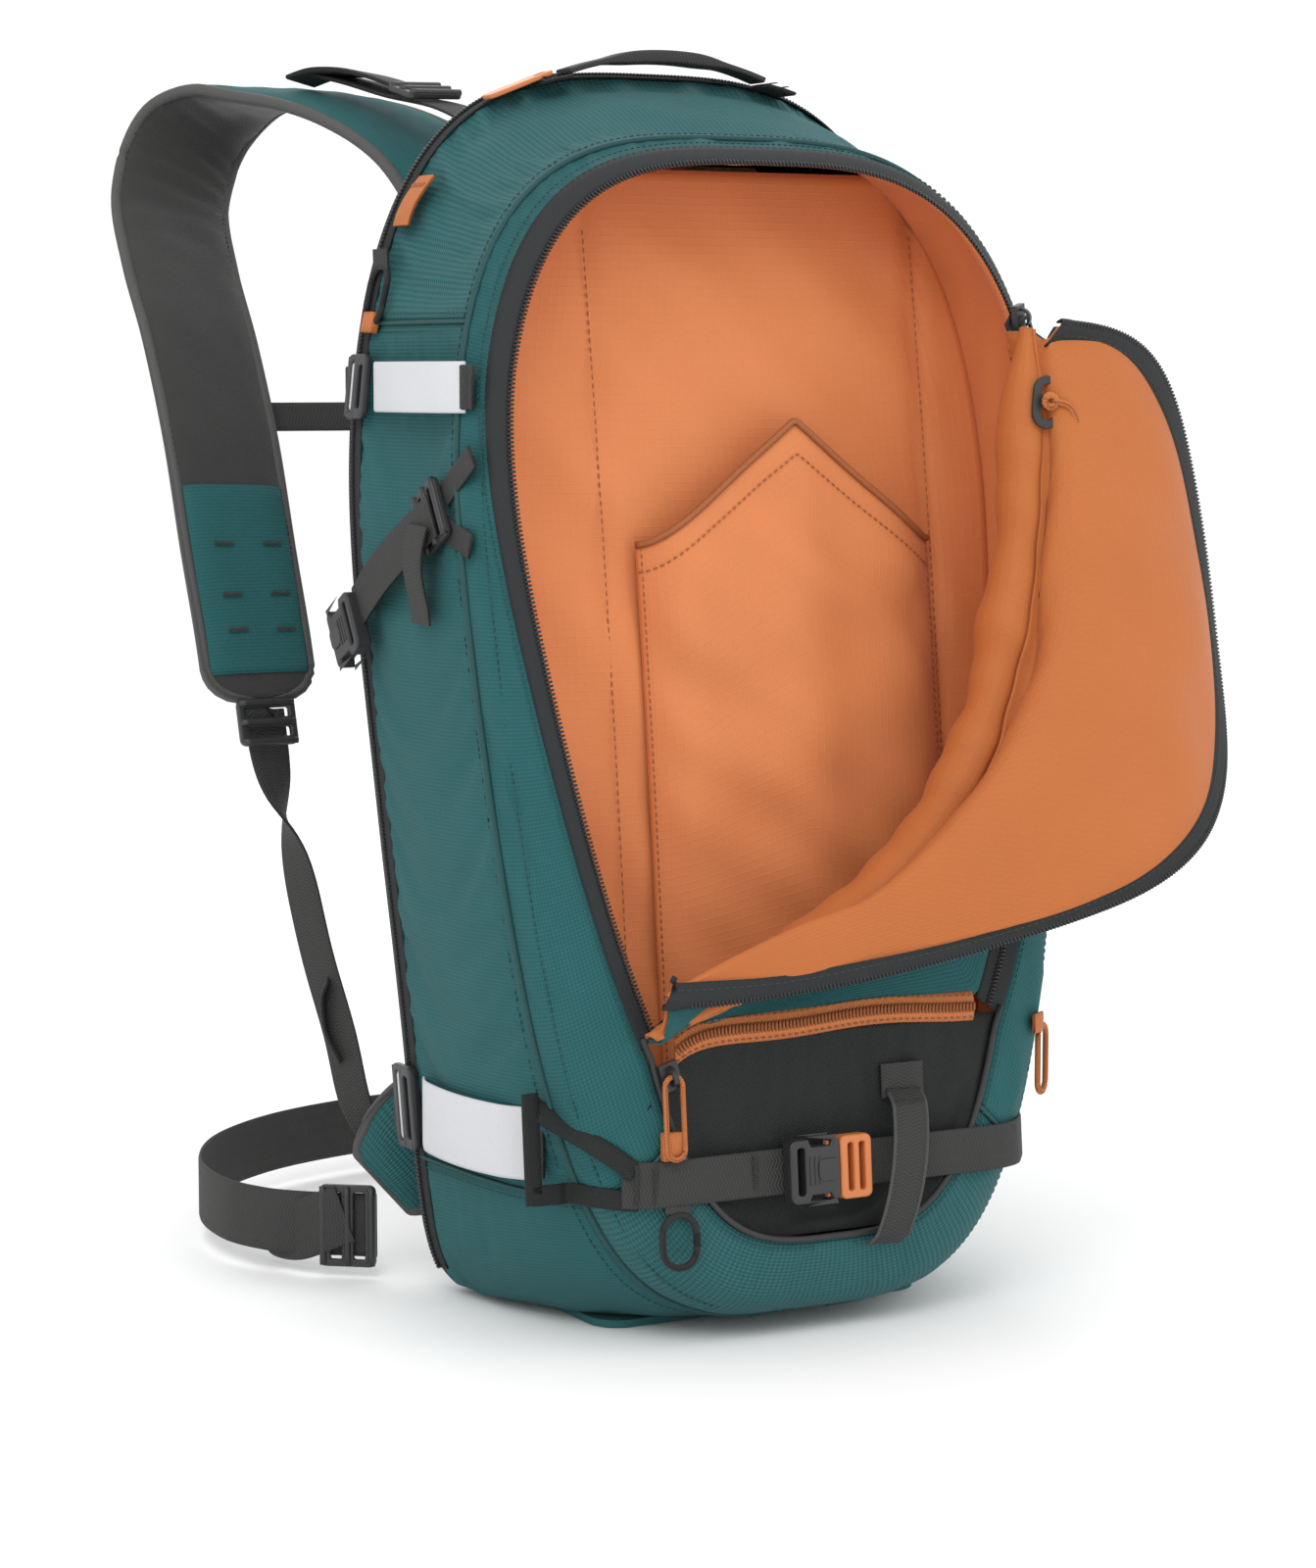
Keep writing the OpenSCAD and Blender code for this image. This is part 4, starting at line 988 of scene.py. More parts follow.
def flap_outline(u):
    """The flap's free edge when closed: just inside the zip, from above the fold's top end round to its foot."""
    inner = TAPE_W + 0.0016
    a0 = angle_at(ZIP_TOP_Z, zip_inset(FLAP_TOP_Z) + TAPE_W, 0)
    a1 = pi - angle_at(0.144, zip_inset(FLAP_FOOT_Z) + TAPE_W, 0)
    a = mix(a0, a1, u)
    return a, zip_d(a) + inner


def flap_closed(u, v):
    """The closed flap: straight rows from the fold line (v = 0) to the zip (v = 1), lying on the face."""
    a, d = flap_outline(u)
    edge = stack(*outline(a, d, 0))
    ends = [stack(*outline(aa, dd, 0)) for aa, dd in (flap_outline(np.array(0.0)), flap_outline(np.array(1.0)))]
    base = mix(ends[0], ends[1], (0.03 + 0.96 * u)[..., None])
    q = mix(base, edge, v[..., None])
    gap = np.linalg.norm(edge - q, axis=-1)
    return stack(q[..., 0], front_y(q[..., 1]) + drop(d + gap, FRONT_R) - 0.003, q[..., 1])


def draped(p):
    """The open flap hangs back round the bag's side: beyond x = drape_from it follows an arc,
    x = from + R sin(s / R), y grows by R (1 - cos(s / R))."""
    c = shape()
    s = np.maximum(p[..., 0] - c.drape_from, 0) / c.drape_radius
    return stack(p[..., 0] - s * c.drape_radius + np.sin(s) * c.drape_radius,
                 p[..., 1] + (1 - np.cos(s)) * c.drape_radius, p[..., 2])


def fold_grid(n=130):
    """One grid over the fixed part, the roll and the open flap; returns it with its column counts."""
    a, b, axis, e1, n_out = hinge_frame()
    r = shape().fold_radius
    u = np.linspace(0, 1, n)[:, None]
    line = a + (b - a) * u
    wide = np.linalg.norm(np.diff(flap_closed(u * np.ones((1, 2)), np.array([[0.0, 1.0]])), axis=1), axis=-1)
    bow = np.minimum(shape().fold_bow * np.sin(pi * u) * (0.88 + 0.24 * u), 0.5 * wide)
    r = r * np.clip(wide / 0.07, 0.22, 1)
    z_corner, x_corner, x_end = 0.1445, 0.088, -0.078
    leg = (FLAP_TOP_Z - z_corner) / ((FLAP_TOP_Z - z_corner) + (x_corner - x_end))
    t1, t2 = np.clip(u / leg, 0, 1), np.clip((u - leg) / (1 - leg), 0, 1)
    z_edge = mix(FLAP_TOP_Z, z_corner, t1)
    x_edge = np.where(u < leg, half_at(z_edge, inset_at(z_edge, TAPE_W + 0.0006), 0), 0)
    x_edge = np.where(u < leg, x_edge, mix(half_at(z_corner, inset_at(z_corner, TAPE_W + 0.0006), 0), x_end, t2))
    theta = np.linspace(0, pi, 16)[None, :, None]
    r = r[..., None]
    roll = line[:, None] + e1 * (bow[..., None] - r * np.sin(theta)) - n_out * r * np.cos(theta)
    w = np.linspace(1, 0, 46)[None, :-1]
    x = mix(roll[:, 0, 0:1], x_edge, w)
    z = mix(roll[:, 0, 2:3], z_edge, w)
    fixed = face_at(x, z)
    fixed[..., 1] += (roll[:, 0:1, 1] - face_at(roll[:, 0:1, 0], roll[:, 0:1, 2])[..., 1]) * (1 - w) ** 2
    w = np.linspace(0, 1, 66)[None, 1:] * np.ones((n, 1))
    uu = u * np.ones_like(w)
    open_flap = turned(flap_closed(uu, w), a, axis, -FLAP_OPEN)
    start = roll[:, -1:]
    reach = np.linalg.norm(open_flap[:, -1:] - start, axis=-1, keepdims=True)
    away = e1 * np.cos(radians(6)) + n_out * np.sin(radians(6))
    leaving = start + w[..., None] * reach * away
    flap = mix(leaving, open_flap, ease(w / 0.45)[..., None])
    flap = flap + n_out * (0.006 * np.sin(pi * np.clip(w, 0, 1)) * np.sin(pi * uu))[..., None]
    flap = draped(flap)
    return np.concatenate([fixed, roll, flap], 1), fixed.shape[1], roll.shape[1], (a, axis, e1, n_out)


def make_flap():
    """Two padded skins, teal outside and orange inside, bound with zip tape along the free edge."""
    p, n_fix, n_roll, (a, axis, _, n_out) = fold_grid()
    rows, cols = p.shape[:2]
    u, _ = params(rows, cols)
    col = np.arange(cols)[None] - n_fix
    near = np.exp(-np.maximum(np.abs(col - n_roll / 2) - n_roll / 2, 0) / 10.0)
    crease = (np.sin(u * 2 * pi * 6.5 + 0.6) + 0.6 * np.sin(u * 2 * pi * 15 + 1.9)) * near * np.sin(pi * u) ** 0.5
    nn = normals(p)
    side = np.sign((nn[:, -10:] * n_out).sum(-1).mean())
    nn = nn * side
    p = p + nn * (0.0011 * crease + wrinkles(p, 0.0016, 0.075, 31))[..., None]
    nn = normals(p) * side
    start, end = a - n_out * 0.0006, a + n_out * 0.0006
    half = 0.0019 * np.sin(pi / 2 * np.clip(np.minimum((cols - 1 - np.arange(cols)) / 4, np.arange(cols) / 3), 0.25, 1))
    half = half[None, :, None]
    seam = n_fix + n_roll - 1
    for tag, sgn, material in (("lining", 1, "flap"), ("cloth", -1, "teal")):
        q = p + nn * sgn * half
        fold = piece(f"fold_{tag}", sheet_mesh("f", q[:, :seam + 1], 0.0011, sgn * side), material, "pack")
        fold.parent = None
        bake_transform(fold)
        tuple(start)
        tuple(end)
        loose = piece(f"flap_{tag}", sheet_mesh("f", q[:, seam:], 0.0011, sgn * side), material, "flap")
        if sgn > 0:
            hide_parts("front_corner_panel")
            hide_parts("flap")
    lift = nn * (half + 0.0007)
    edge = (p + lift)[:, -1]
    inner = (p + lift)[:, -2]
    way = unit(inner - edge)
    ring = np.stack([edge - way * 0.0015 - nn[:, -1] * 0.0030, edge - way * 0.0036 - nn[:, -1] * 0.0012,
                     edge - way * 0.0030 + nn[:, -1] * 0.0004, edge + way * 0.0010 + nn[:, -1] * 0.0012,
                     edge + way * 0.0060 + nn[:, -1] * 0.0010, edge + way * 0.0108 + nn[:, -1] * 0.0004], 1)
    piece("flap_tape", sheet_mesh("t", ring, 0.0009, side), "tape", "flap")
    pts = ring[:, 2]
    teeth("flap_teeth", pts[2:-2], nn[2:-2, -1], "coil", "flap")
    stitch_row("flap_stitch", ring[2:-2, 4] + nn[2:-2, -1] * 0.0006, nn[2:-2, -1], "dark_thread", "flap")
    goal = turned(flap_closed(np.array([[0.13]]), np.array([[0.30]])), a, axis, -FLAP_OPEN)[0, 0]
    over = p[:, n_fix + n_roll:]
    i, j = np.unravel_index(np.argmin(np.linalg.norm((over - goal)[..., [0, 2]], axis=-1)), over.shape[:2])
    at, n_out = over[i, j] + nn[i, n_fix + n_roll + j] * 0.0005, nn[i, n_fix + n_roll + j]
    plate = [rounded(0.024, 0.014, 0.0069, (0, 0)), circle(0.0032, (-0.005, 0)), circle(0.0032, (0.005, 0))]
    up = unit(np.array([0.15, 0, 1.0]))
    piece("eyelet_plate", plate_mesh("eyelet", plate, 0.0022, 0.0005, at + n_out * 0.0032, up, n_out), "plastic",
          "flap", ("flap_eyelet",))
    o = at + n_out * 0.0052
    down, left = -up, unit(np.cross(up, n_out))
    tail = curve([o, o + left * 0.004 + n_out * 0.0035, o + left * 0.010 + down * 0.002 + n_out * 0.004,
                  o + left * 0.014 + down * 0.009 + n_out * 0.003, o + left * 0.009 + down * 0.017 + n_out * 0.002,
                  o + left * 0.013 + down * 0.026 + n_out * 0.0016], 8)
    cord = piece("eyelet_cord", tube_mesh("c", tail, 0.0015, 10), "accent_cord", "flap")
    angle = np.linspace(0, 2 * pi, 18, endpoint=False)[:, None]
    ring = o + n_out * 0.0028 + (left * np.cos(angle) + up * np.sin(angle)) * 0.0026
    knot = piece("eyelet_knot", tube_mesh("k", ring, 0.0017, 8, True), "accent_cord", "flap")


# ---------------------------------------------------------------- fittings

def band(name, path, across, width, body="pack", material="webbing", replaces=(), thick=None):
    """A length of webbing through points given in millimetres."""
    path = curve(np.asarray(path, float) * MM, 10)
    mesh = webbing_mesh(name, path, across, width * MM, thick or shape().webbing)
    return piece(name, mesh, material, body, replaces)


def bar_tacks(name, spots, body="pack", material="dark_thread"):
    """Dense zigzag tacks: each spot gives a centre, the way the tack runs, its outward direction and its length."""
    meshes = []
    for at, way, out, size in spots:
        n = max(6, int(size / 0.8))
        t = np.linspace(-0.5, 0.5, n)[:, None]
        way, out = unit(np.asarray(way, float)), unit(np.asarray(out, float))
        centres = np.asarray(at, float) * MM + way * t * size * MM + out * 0.0004
        meshes.append(beads_mesh(name, centres, np.broadcast_to(np.cross(out, way), centres.shape) + way * 0.25, out,
                                 (0.0013, 0.00040, 0.00034)))
    return piece(name, join(name, meshes), material, body)


def fitting(name, meshes, material, body="pack", replaces=()):
    """One piece made of several meshes."""
    return piece(name, join(name, meshes), material, body, replaces)


def buckle_body(at, x, z, w):
    """The female half of a side-release buckle: a grooved housing with side windows and a webbing slot."""
    l, h = 1.25 * w, w / 2 + 4
    n0, n1 = l * 0.12 - l * 0.19, l * 0.12 + l * 0.19
    r = 3.4
    a = np.linspace(0, pi / 2, 6)[:, None]
    top = [np.c_[l / 2 - r + r * np.cos(a), h - r + r * np.sin(a)], [[n1 + 1.5, h], [n1, h - 3.4], [n0, h - 3.4],
           [n0 - 1.5, h]], np.c_[-l / 2 + r - r * np.sin(a), h - r + r * np.cos(a)]]
    top = np.concatenate([np.asarray(q, float).reshape(-1, 2) for q in top])
    loop = np.concatenate([top, top[::-1] * [1, -1]])
    slot = rounded(3.6, w + 0.6, 1.2, (-l / 2 + 5.6, 0))
    loops = [q * MM for q in (loop, slot)]
    zz = unit(np.asarray(z, float))
    at = np.asarray(at, float) * MM
    mouth = [q * MM for q in (rounded(l * 0.42, w * 0.5, 3.0, (l * 0.26, 0)),)]
    ridge = [[rounded(1.2, w * 0.62, 0.5, (-l * 0.10 + i * 2.4, 0)) * MM] for i in range(3)]
    return [plate_mesh("housing", loops, BUCKLE_THICK * MM, 1.1 * MM, at, x, z),
            plate_mesh("crown", mouth, 1.2 * MM, 0.55 * MM, at + zz * 7.0 * MM, x, z)] + [
            plate_mesh("ridge", q, 0.9 * MM, 0.4 * MM, at + zz * 7.0 * MM, x, z) for q in ridge]


def buckle_prongs(at, x, z, w):
    """The male half: a bar frame with two slots, a centre tongue and two springy arms."""
    reach, h = w * 0.625 - 3, w / 2 + 4
    bars = [q * MM for q in (rounded(16, w + 8, 3, (8, 0)), rounded(2.8, w + 1, 1, (5.4, 0)),
                             rounded(2.8, w + 1, 1, (11.2, 0)))]
    arms = []
    for s in (-1, 1):
        arm = np.array([[1.5, s * (h - 7)], [1.5, s * (h - 3.4)], [-reach * 0.35, s * (h - 2.2)],
                        [-reach * 0.62, s * (h - 1.6)], [-reach * 0.66, s * (h - 4.6)], [-reach, s * (h - 6.2)],
                        [-reach, s * (h - 7.6)], [-reach * 0.5, s * (h - 7)]])
        arms.append(arm[::s] * MM)
    tongue = rounded(reach * 0.85 + 1, w * 0.18, 1.2, (-reach * 0.425 + 0.5, 0)) * MM
    zz = unit(np.asarray(z, float))
    at = np.asarray(at, float) * MM
    inner = at + zz * 2.3 * MM
    return [plate_mesh("bars", bars, BUCKLE_THICK * MM, 1.2 * MM, at, x, z),
            plate_mesh("tongue", [tongue], 3.2 * MM, 0.5 * MM, inner, x, z)] + [
            plate_mesh("arm", [q], 3.2 * MM, 0.5 * MM, inner, x, z) for q in arms]


def ladder(at, x, z, w):
    """A ladder lock: a plate with two slots and two raised bars."""
    l = w * 0.5 + 12
    loops = [q * MM for q in (rounded(l, w + 9, 3), rounded(l * 0.2, w + 2, 1, (-l * 0.21, 0)),
                              rounded(l * 0.2, w + 2, 1, (l * 0.21, 0)))]
    zz, xx = unit(np.asarray(z, float)), unit(np.asarray(x, float))
    xx = unit(xx - zz * (xx @ zz))
    yy = np.cross(zz, xx)
    at = np.asarray(at, float) * MM
    out = [plate_mesh("lock", loops, 3.2 * MM, 0.9 * MM, at, x, z)]
    for k in (-l / 2 + 1.8, 0.0, l / 2 - 1.8):
        t = np.linspace(-1, 1, 9)[:, None] * (w / 2 + 3.6) * MM
        out.append(tube_mesh("bar", at + xx * k * MM + zz * 3.0 * MM + yy * t, 0.0017, 10))
    return out


def ring_path(at, x, z, long_, wide, d, n=40):
    """A stadium-shaped loop from its anchor point out along minus Y of its own plane."""
    half = (wide - d) / 2
    straight = long_ - wide
    a = np.linspace(0, pi, n // 2)
    top = np.c_[half * np.cos(a), -wide / 2 + half * np.sin(a)]
    low = np.c_[-half * np.cos(a), -wide / 2 - straight - half * np.sin(a)]
    q = np.concatenate([top, low])
    zz, xx = unit(np.asarray(z, float)), unit(np.asarray(x, float))
    xx = unit(xx - zz * (xx @ zz))
    yy = np.cross(zz, xx)
    return (np.asarray(at, float) + q[:, :1] * xx + q[:, 1:] * yy) * MM


def side_mm(s, y, z, lift):
    """A point on the side s in millimetres, lifted straight out."""
    p = side_at(s, y * MM, z * MM)
    return (p + [s * lift * MM, 0, 0]) / MM


def front_mm(x, z, lift):
    """A point on the front face in millimetres, lifted along the face's outward direction."""
    d = np.maximum(half_at(z * MM, 0, 0) - np.abs(x * MM), 0)
    q = np.maximum(FRONT_R - d, 0) / FRONT_R
    return stack(x + np.sign(x) * lift * q, (front_y(z * MM) + drop(d, FRONT_R)) / MM
                 - lift * np.sqrt(1 - q * q), z + 0 * x)


def make_side_fittings():
    """Ski straps and hooks, compression straps, gear loops and side tabs on both sides."""
    for s, side in ((-1, "left"), (1, "right")):
        for tag, z, w, y0, y1 in (("upper", 415, 22, -56, 30), ("lower", 89, 32, -70, 22)):
            t = np.linspace(0, 1, 9)
            path = [side_mm(s, mix(y0, y1, v), z, 8 * np.sqrt(max(np.sin(pi * v), 0)) + 1.6) for v in t]
            band(f"ski_strap_{tag}_{side}", path, (0, 0, 1), w, "pack", "pale",
                 (f"ski_webbing_{tag}",) if s < 0 else (), 1.5 * MM)
            ends = [side_mm(s, y0 - 6 + 2 * i, z, 1.0 + 1.5 * (i > 2)) for i in range(8)]
            band(f"ski_strap_root_{tag}_{side}", ends, (0, 0, 1), w - 3)
            bar_tacks(f"ski_tack_{tag}_{side}", [(side_mm(s, y0 + 1 + k, z, 2.9 + 0.6 * k / 5), (0, 0, 1), (s, 0, 0),
                                                  w * 0.8) for k in (0, 5)])
            joint = JOINTS[f"ski_hook_{tag}_{side}_turn"]
            at = np.array(joint["pos_m"])
            axis = np.array(joint["axis"])
            out = unit(np.cross(axis, [0, -1, 0]))
            out = out if out[0] * s > 0 else -out
            bars = [q * MM for q in (rounded(19, w + 7, 3.4, (8.6, 0)), rounded(2.6, w + 0.6, 1.1, (4.2, 0)),
                                     rounded(4.4, w - 3, 1.4, (12.2, 0)))]
            hooks = [plate_mesh("frame", bars, 3.4 * MM, 1.0 * MM, at - out * 1.7 * MM, (0, -1, 0), out)]
            for y in (0, 8.2, 15.6):
                bar = np.linspace(-1, 1, 7)[:, None] * (w / 2 + 2.2) * MM * axis + at - np.array([0, y * MM, 0])
                hooks.append(tube_mesh("bar", bar, 0.0018, 12))
            loop = (at + out * 0.0004 - np.array([0, 0.0042, 0])
                    + np.linspace(-1, 1, 5)[:, None] * np.array([0, 0.0016, 0]))
            piece(f"ski_hook_web_{tag}_{side}", webbing_mesh("w", loop, axis, (w - 1) * MM, 0.0012), "pale",
                  f"ski_hook_{tag}_{side}")
            fitting(f"ski_hook_{tag}_{side}_mould", hooks, "plastic", f"ski_hook_{tag}_{side}",
                    (f"ski_hook_{tag}_{side}",))
            back = [side_mm(s, at[1] / MM - 1 + 2.4 * i, z, 4.2 - 3.4 * min(i / 3, 1)) for i in range(6)]
            band(f"ski_hook_root_{tag}_{side}", back, (0, 0, 1), w - 4)
        for dz, tag in ((-18, "low"), (20, "high")):
            path = [side_mm(s, mix(-68, -44, i / 5), mix(366 + dz, 362 + np.sign(dz) * 7, i / 5), 1.1 + 0.3 * i / 5)
                    for i in range(6)]
            band(f"anchor_{tag}_{side}", path, (0, 0.2, 1), 11, replaces=("compression_anchors",) if s < 0 else ())
        body = f"compression_strap_{side}"
        start, end = side_mm(s, -38, 358, 3.2), side_mm(s, 30, 318, 6)
        way = end - start
        lock = ladder(side_mm(s, -38, 360, 2.8), way, (s, 0, 0), 20)
        fitting(f"compression_lock_{side}", lock, "plastic", body, (body,))
        path = [mix(start, end, t) + [s * (3.6 + 3 * np.sin(pi * t)), 0, 0] for t in np.linspace(-0.06, 1.02, 9)]
        band(f"compression_web_{side}", path, (0, 1, 1.6), 20, body)
        tail = [start + np.array([s * 6.4, 3, -2.0]) + np.array([s * 2.5 * np.sin(i * 0.9), 0.5 * i, -8.5 * i])
                for i in range(6)]
        band(f"compression_tail_{side}", tail, (0, 1, 0.1), 18, body)
        at = end + np.array([s * 2.0, 6, -11])
        fitting(f"compression_buckle_{side}", buckle_body(at, way, (s, 0, 0), 20), "plastic", body)
        joint = JOINTS[f"gear_loop_{side}_swing"]
        at = np.array(joint["pos_m"]) / MM
        out = unit(np.array([s, 0, 0.235]))
        loop = ring_path(at, (0, s, 0), out, 30, 20, 3)
        fitting(f"gear_cord_{side}", [tube_mesh("loop", loop, 0.0015, 10, True)], "dark_cord", f"gear_loop_{side}",
                (f"gear_loop_{side}",))
        sleeve_at = at + out * 0.2 + unit(np.array([s * 0.235, 0, -1])) * 24
        cuff = np.array([sleeve_at + unit(np.array([s * 0.235, 0, -1])) * k for k in (-1, 2, 5, 8)]) * MM
        piece(f"gear_cuff_{side}", strip_mesh("cuff", cuff, (0, 1, 0), 0.011, 0.0046), "accent_cord",
              f"gear_loop_{side}")
        root = [side_mm(s, 40, z, 1.4 + 0.35 * (z - 462)) for z in (476, 473, 470, 467)]
        band(f"gear_root_{side}", root, (0, 1, 0), 15)
        tab = [side_mm(s, 34, z, lift) for z, lift in ((508, 1.0), (503, 2.2), (497, 3.2), (491, 3.4), (486, 2.8))]
        band(f"side_tab_{side}", tab, (0, 1, 0), 15, "pack", "accent_cord", ("side_tabs",) if s < 0 else (), 2 * MM)
        bar_tacks(f"side_tab_tack_{side}", [(side_mm(s, 34, 504, 3.0), (0, 1, 0), (s, 0, 0.4), 12)], "pack",
                  "lining_thread")


def make_front_fittings():
    """The front strap with its buckle, anchors and tab, the axe loop and the zip pulls."""
    z0 = 76
    lean = unit(np.array([0, -1, 0.0818]))
    up = unit(np.array([0, 0.0818, 1]))
    left = [front_mm(np.array(float(x)), z0, 2.0) for x in np.linspace(-100, -20, 8)]
    band("front_strap_left", left, up, 20, replaces=("front_strap_anchors",))
    xs = np.linspace(14, half_at(z0 * MM, 0, 0) / MM - 3, 12)
    band("front_strap_right", [front_mm(np.array(float(x)), z0, 2.2 + i / 11) for i, x in enumerate(xs)], up, 20)
    for tag, ends, w in (("high", ((-130, 110), (-96, 82)), 9), ("low", ((-130, 70), (-94, 69)), 9),
                         ("end", ((-129.5, 114), (-129.5, 66)), 8)):
        (xa, za), (xb, zb) = ends
        way = unit(np.array([xb - xa, 0, zb - za], float))
        t = np.linspace(0, 1, 7)
        band(f"front_anchor_{tag}", [front_mm(np.array(mix(xa, xb, v)), mix(za, zb, v), 1.5) for v in t],
             np.cross(way, lean), w, material="charcoal")
    bar_tacks("front_strap_tacks", [(front_mm(np.array(x), z0, 3.0), (0, 0, 1), lean, 17.0)
                                    for x in (-95.0, -88.0, -40.0, 96.0)])
    at = front_mm(np.array(-14.0), z0, 3.6)
    fitting("front_buckle_housing", buckle_body(at, (1, 0, 0), lean, 20), "plastic", "pack", ("front_buckle_female",))
    at = front_mm(np.array(-1.1), z0, 3.6)
    fitting("front_buckle_prongs", buckle_prongs(at, (1, 0, 0), lean, 20), "accent_plastic", "front_buckle_male",
            ("front_buckle_male",))
    t = np.linspace(0, 1, 17)
    tab = [front_mm(np.array(37 - 12.8 * v), 106 - 66 * v, 3.2 + 12 * np.sqrt(max(np.sin(pi * v), 0))) for v in t]
    band("front_tab_web", tab, (1, 0, 0), 17, "front_tab", "webbing", ("front_tab",), 2 * MM)
    for s in (-1, 1):
        edge = np.array([q + [s * 8.3, -0.6, 0] for q in tab]) * MM
        piece(f"front_tab_edge_{'left' if s < 0 else 'right'}", tube_mesh("e", curve(edge, 3), 0.0008), "binding",
              "front_tab")
    bar_tacks("front_tab_tack", [(tab[1] + [0, -1.2, 0], (1, 0, 0), (0, -1, 0.5), 14)], "front_tab")
    patch = [front_mm(np.array(37 + 0.4), z, 1.8) for z in (118, 113, 108, 103)]
    band("front_tab_root", patch, (1, 0, 0), 22)
    at = np.array(JOINTS["axe_loop_swing"]["pos_m"]) / MM
    fitting("axe_cord", [tube_mesh("loop", ring_path(at, (1, 0, 0), lean, 26, 20, 3.2), 0.0016, 10, True)],
            "dark_cord", "axe_loop", ("axe_loop",))
    root = [front_mm(np.array(-78.0), z, 1.6 + 0.5 * (z < 66)) for z in (72, 69, 66, 63)]
    band("axe_root", root, (1, 0, 0), 13)
    at = np.array(JOINTS["left_pull_swing"]["pos_m"]) / MM
    out = unit(np.array([0, -0.9964, 0.0848]))
    ring = ring_path(at + [0, 0, 1.2], (1, 0, 0), out, 38, 11, 2.4)
    fitting("left_pull_cord", [tube_mesh("loop", ring, 0.0012, 10, True)], "accent_cord", "zip_pull_left",
            ("zip_pull_left",))
    grip = np.array([at + [0, 0, -24 - k] for k in (0, 4, 8, 12)]) * MM
    piece("left_pull_grip", strip_mesh("grip", grip, (1, 0, 0), 0.011, 0.0044), "accent_cord", "zip_pull_left")
    at = np.array(JOINTS["lower_pull_swing"]["pos_m"]) / MM
    ring = ring_path(at, (0.8, 0.6, 0), (0.6, -0.8, 0), 34, 14, 2.8)
    fitting("lower_pull_cord", [tube_mesh("loop", ring, 0.0014, 10, True)], "accent_cord", "lower_zip_pull",
            ("lower_zip_pull",))
    root = [front_mm(np.array(x), 128.0, 1.8 + k) for x, k in ((111.0, 0), (115.0, 0.3), (118.5, 0.8))]
    band("lower_pull_root", root, (0, 0, 1), 9, "pack", "accent_cord")


def make_top_fittings():
    """The haul handle and the back zip's orange pull on the roof."""
    def roof(x, y):
        """Height of the roof in millimetres: the outline's z at width x, at the gusset's share of depth y."""
        k = np.clip((y * MM - gusset_y(BACK_H, 0)) / (gusset_y(BACK_H, 1) - gusset_y(BACK_H, 0)), 0, 1)
        return (MID_Z + (top_z(k) - MID_Z) * (1 - (abs(x) * MM / half_w(BACK_H)) ** CROWN_P) ** (1 / CROWN_P)) / MM
    xs = np.linspace(-50, 52, 13)
    path = [[x, HANDLE_Y, roof(x, HANDLE_Y) + 4.2 + 6 * np.sin(pi * i / 12)] for i, x in enumerate(xs)]
    rolled = curve(np.array(path) * MM, 6)
    n = len(rolled)
    t = np.linspace(0, 1, n)
    grip = np.exp(-((t - 0.5) / 0.26) ** 6)
    piece("haul_handle_grip", strip_mesh("h", rolled, (0, 1, 0), mix(0.0145, 0.015, grip), mix(0.0028, 0.0062, grip)),
          "webbing", "haul_handle", ("haul_handle",))
    for s, tag in ((-1, "left"), (1, "right")):
        foot = [[x, HANDLE_Y, roof(x, HANDLE_Y) + 1.6] for x in (s * 66 + 1, s * 61 + 1, s * 56 + 1, s * 51 + 1)]
        band(f"handle_foot_{tag}", foot, (0, 1, 0), 20)
        bar_tacks(f"handle_tack_{tag}", [([s * 57, HANDLE_Y, roof(57, HANDLE_Y) + 3.4], (0, 1, 0), (0, 0, 1), 16),
                                         ([s * 63, HANDLE_Y, roof(63, HANDLE_Y) + 3.2], (0, 1, 0), (0, 0, 1), 16)])
    at = [-74, HANDLE_Y, roof(-74, HANDLE_Y) + 2.2]
    loops = [rounded(34, 12, 3, (1, 0)) * MM, circle(2.8, (13, 0)) * MM]
    fitting("top_pull_tab", [plate_mesh("p", loops, 2.2 * MM, 0.7 * MM, np.array(at) * MM, (0.9, 0, 0.35),
                                        (-0.35, 0, 0.9))], "accent_plastic", "top_zip_pull", ("top_zip_pull",))


# ---------------------------------------------------------------- harness and back

STRAP = [[-60, 84, 462], [-62, 100, 492], [-68, 132, 522], [-80, 178, 543], [-96, 226, 554], [-116, 262, 554],
         [-134, 280, 536], [-148, 272, 506], [-156, 240, 472], [-160, 206, 436], [-163, 174, 389], [-165, 150, 339],
         [-165, 134, 300], [-165, 124, 270]]


def pad_skins(path, across, width, thick, m=30):
    """Both faces of a pad along a path: half thickness t (1 - |c|^4)^0.6 over the width c from -1 to 1."""
    path, _, side, out = path_frames(path, across)
    n = len(path)
    c = np.sin(np.linspace(-pi / 2, pi / 2, m))[None, :, None]
    w = np.broadcast_to(np.asarray(width, float), n)[:, None, None] / 2
    t = np.broadcast_to(np.asarray(thick, float), n)[:, None, None] / 2
    h = t * (0.16 + 0.84 * (1 - np.abs(c) ** 4) ** 0.6)
    mid = path[:, None] + side[:, None] * c * w
    return mid + out[:, None] * h, mid - out[:, None] * h, out


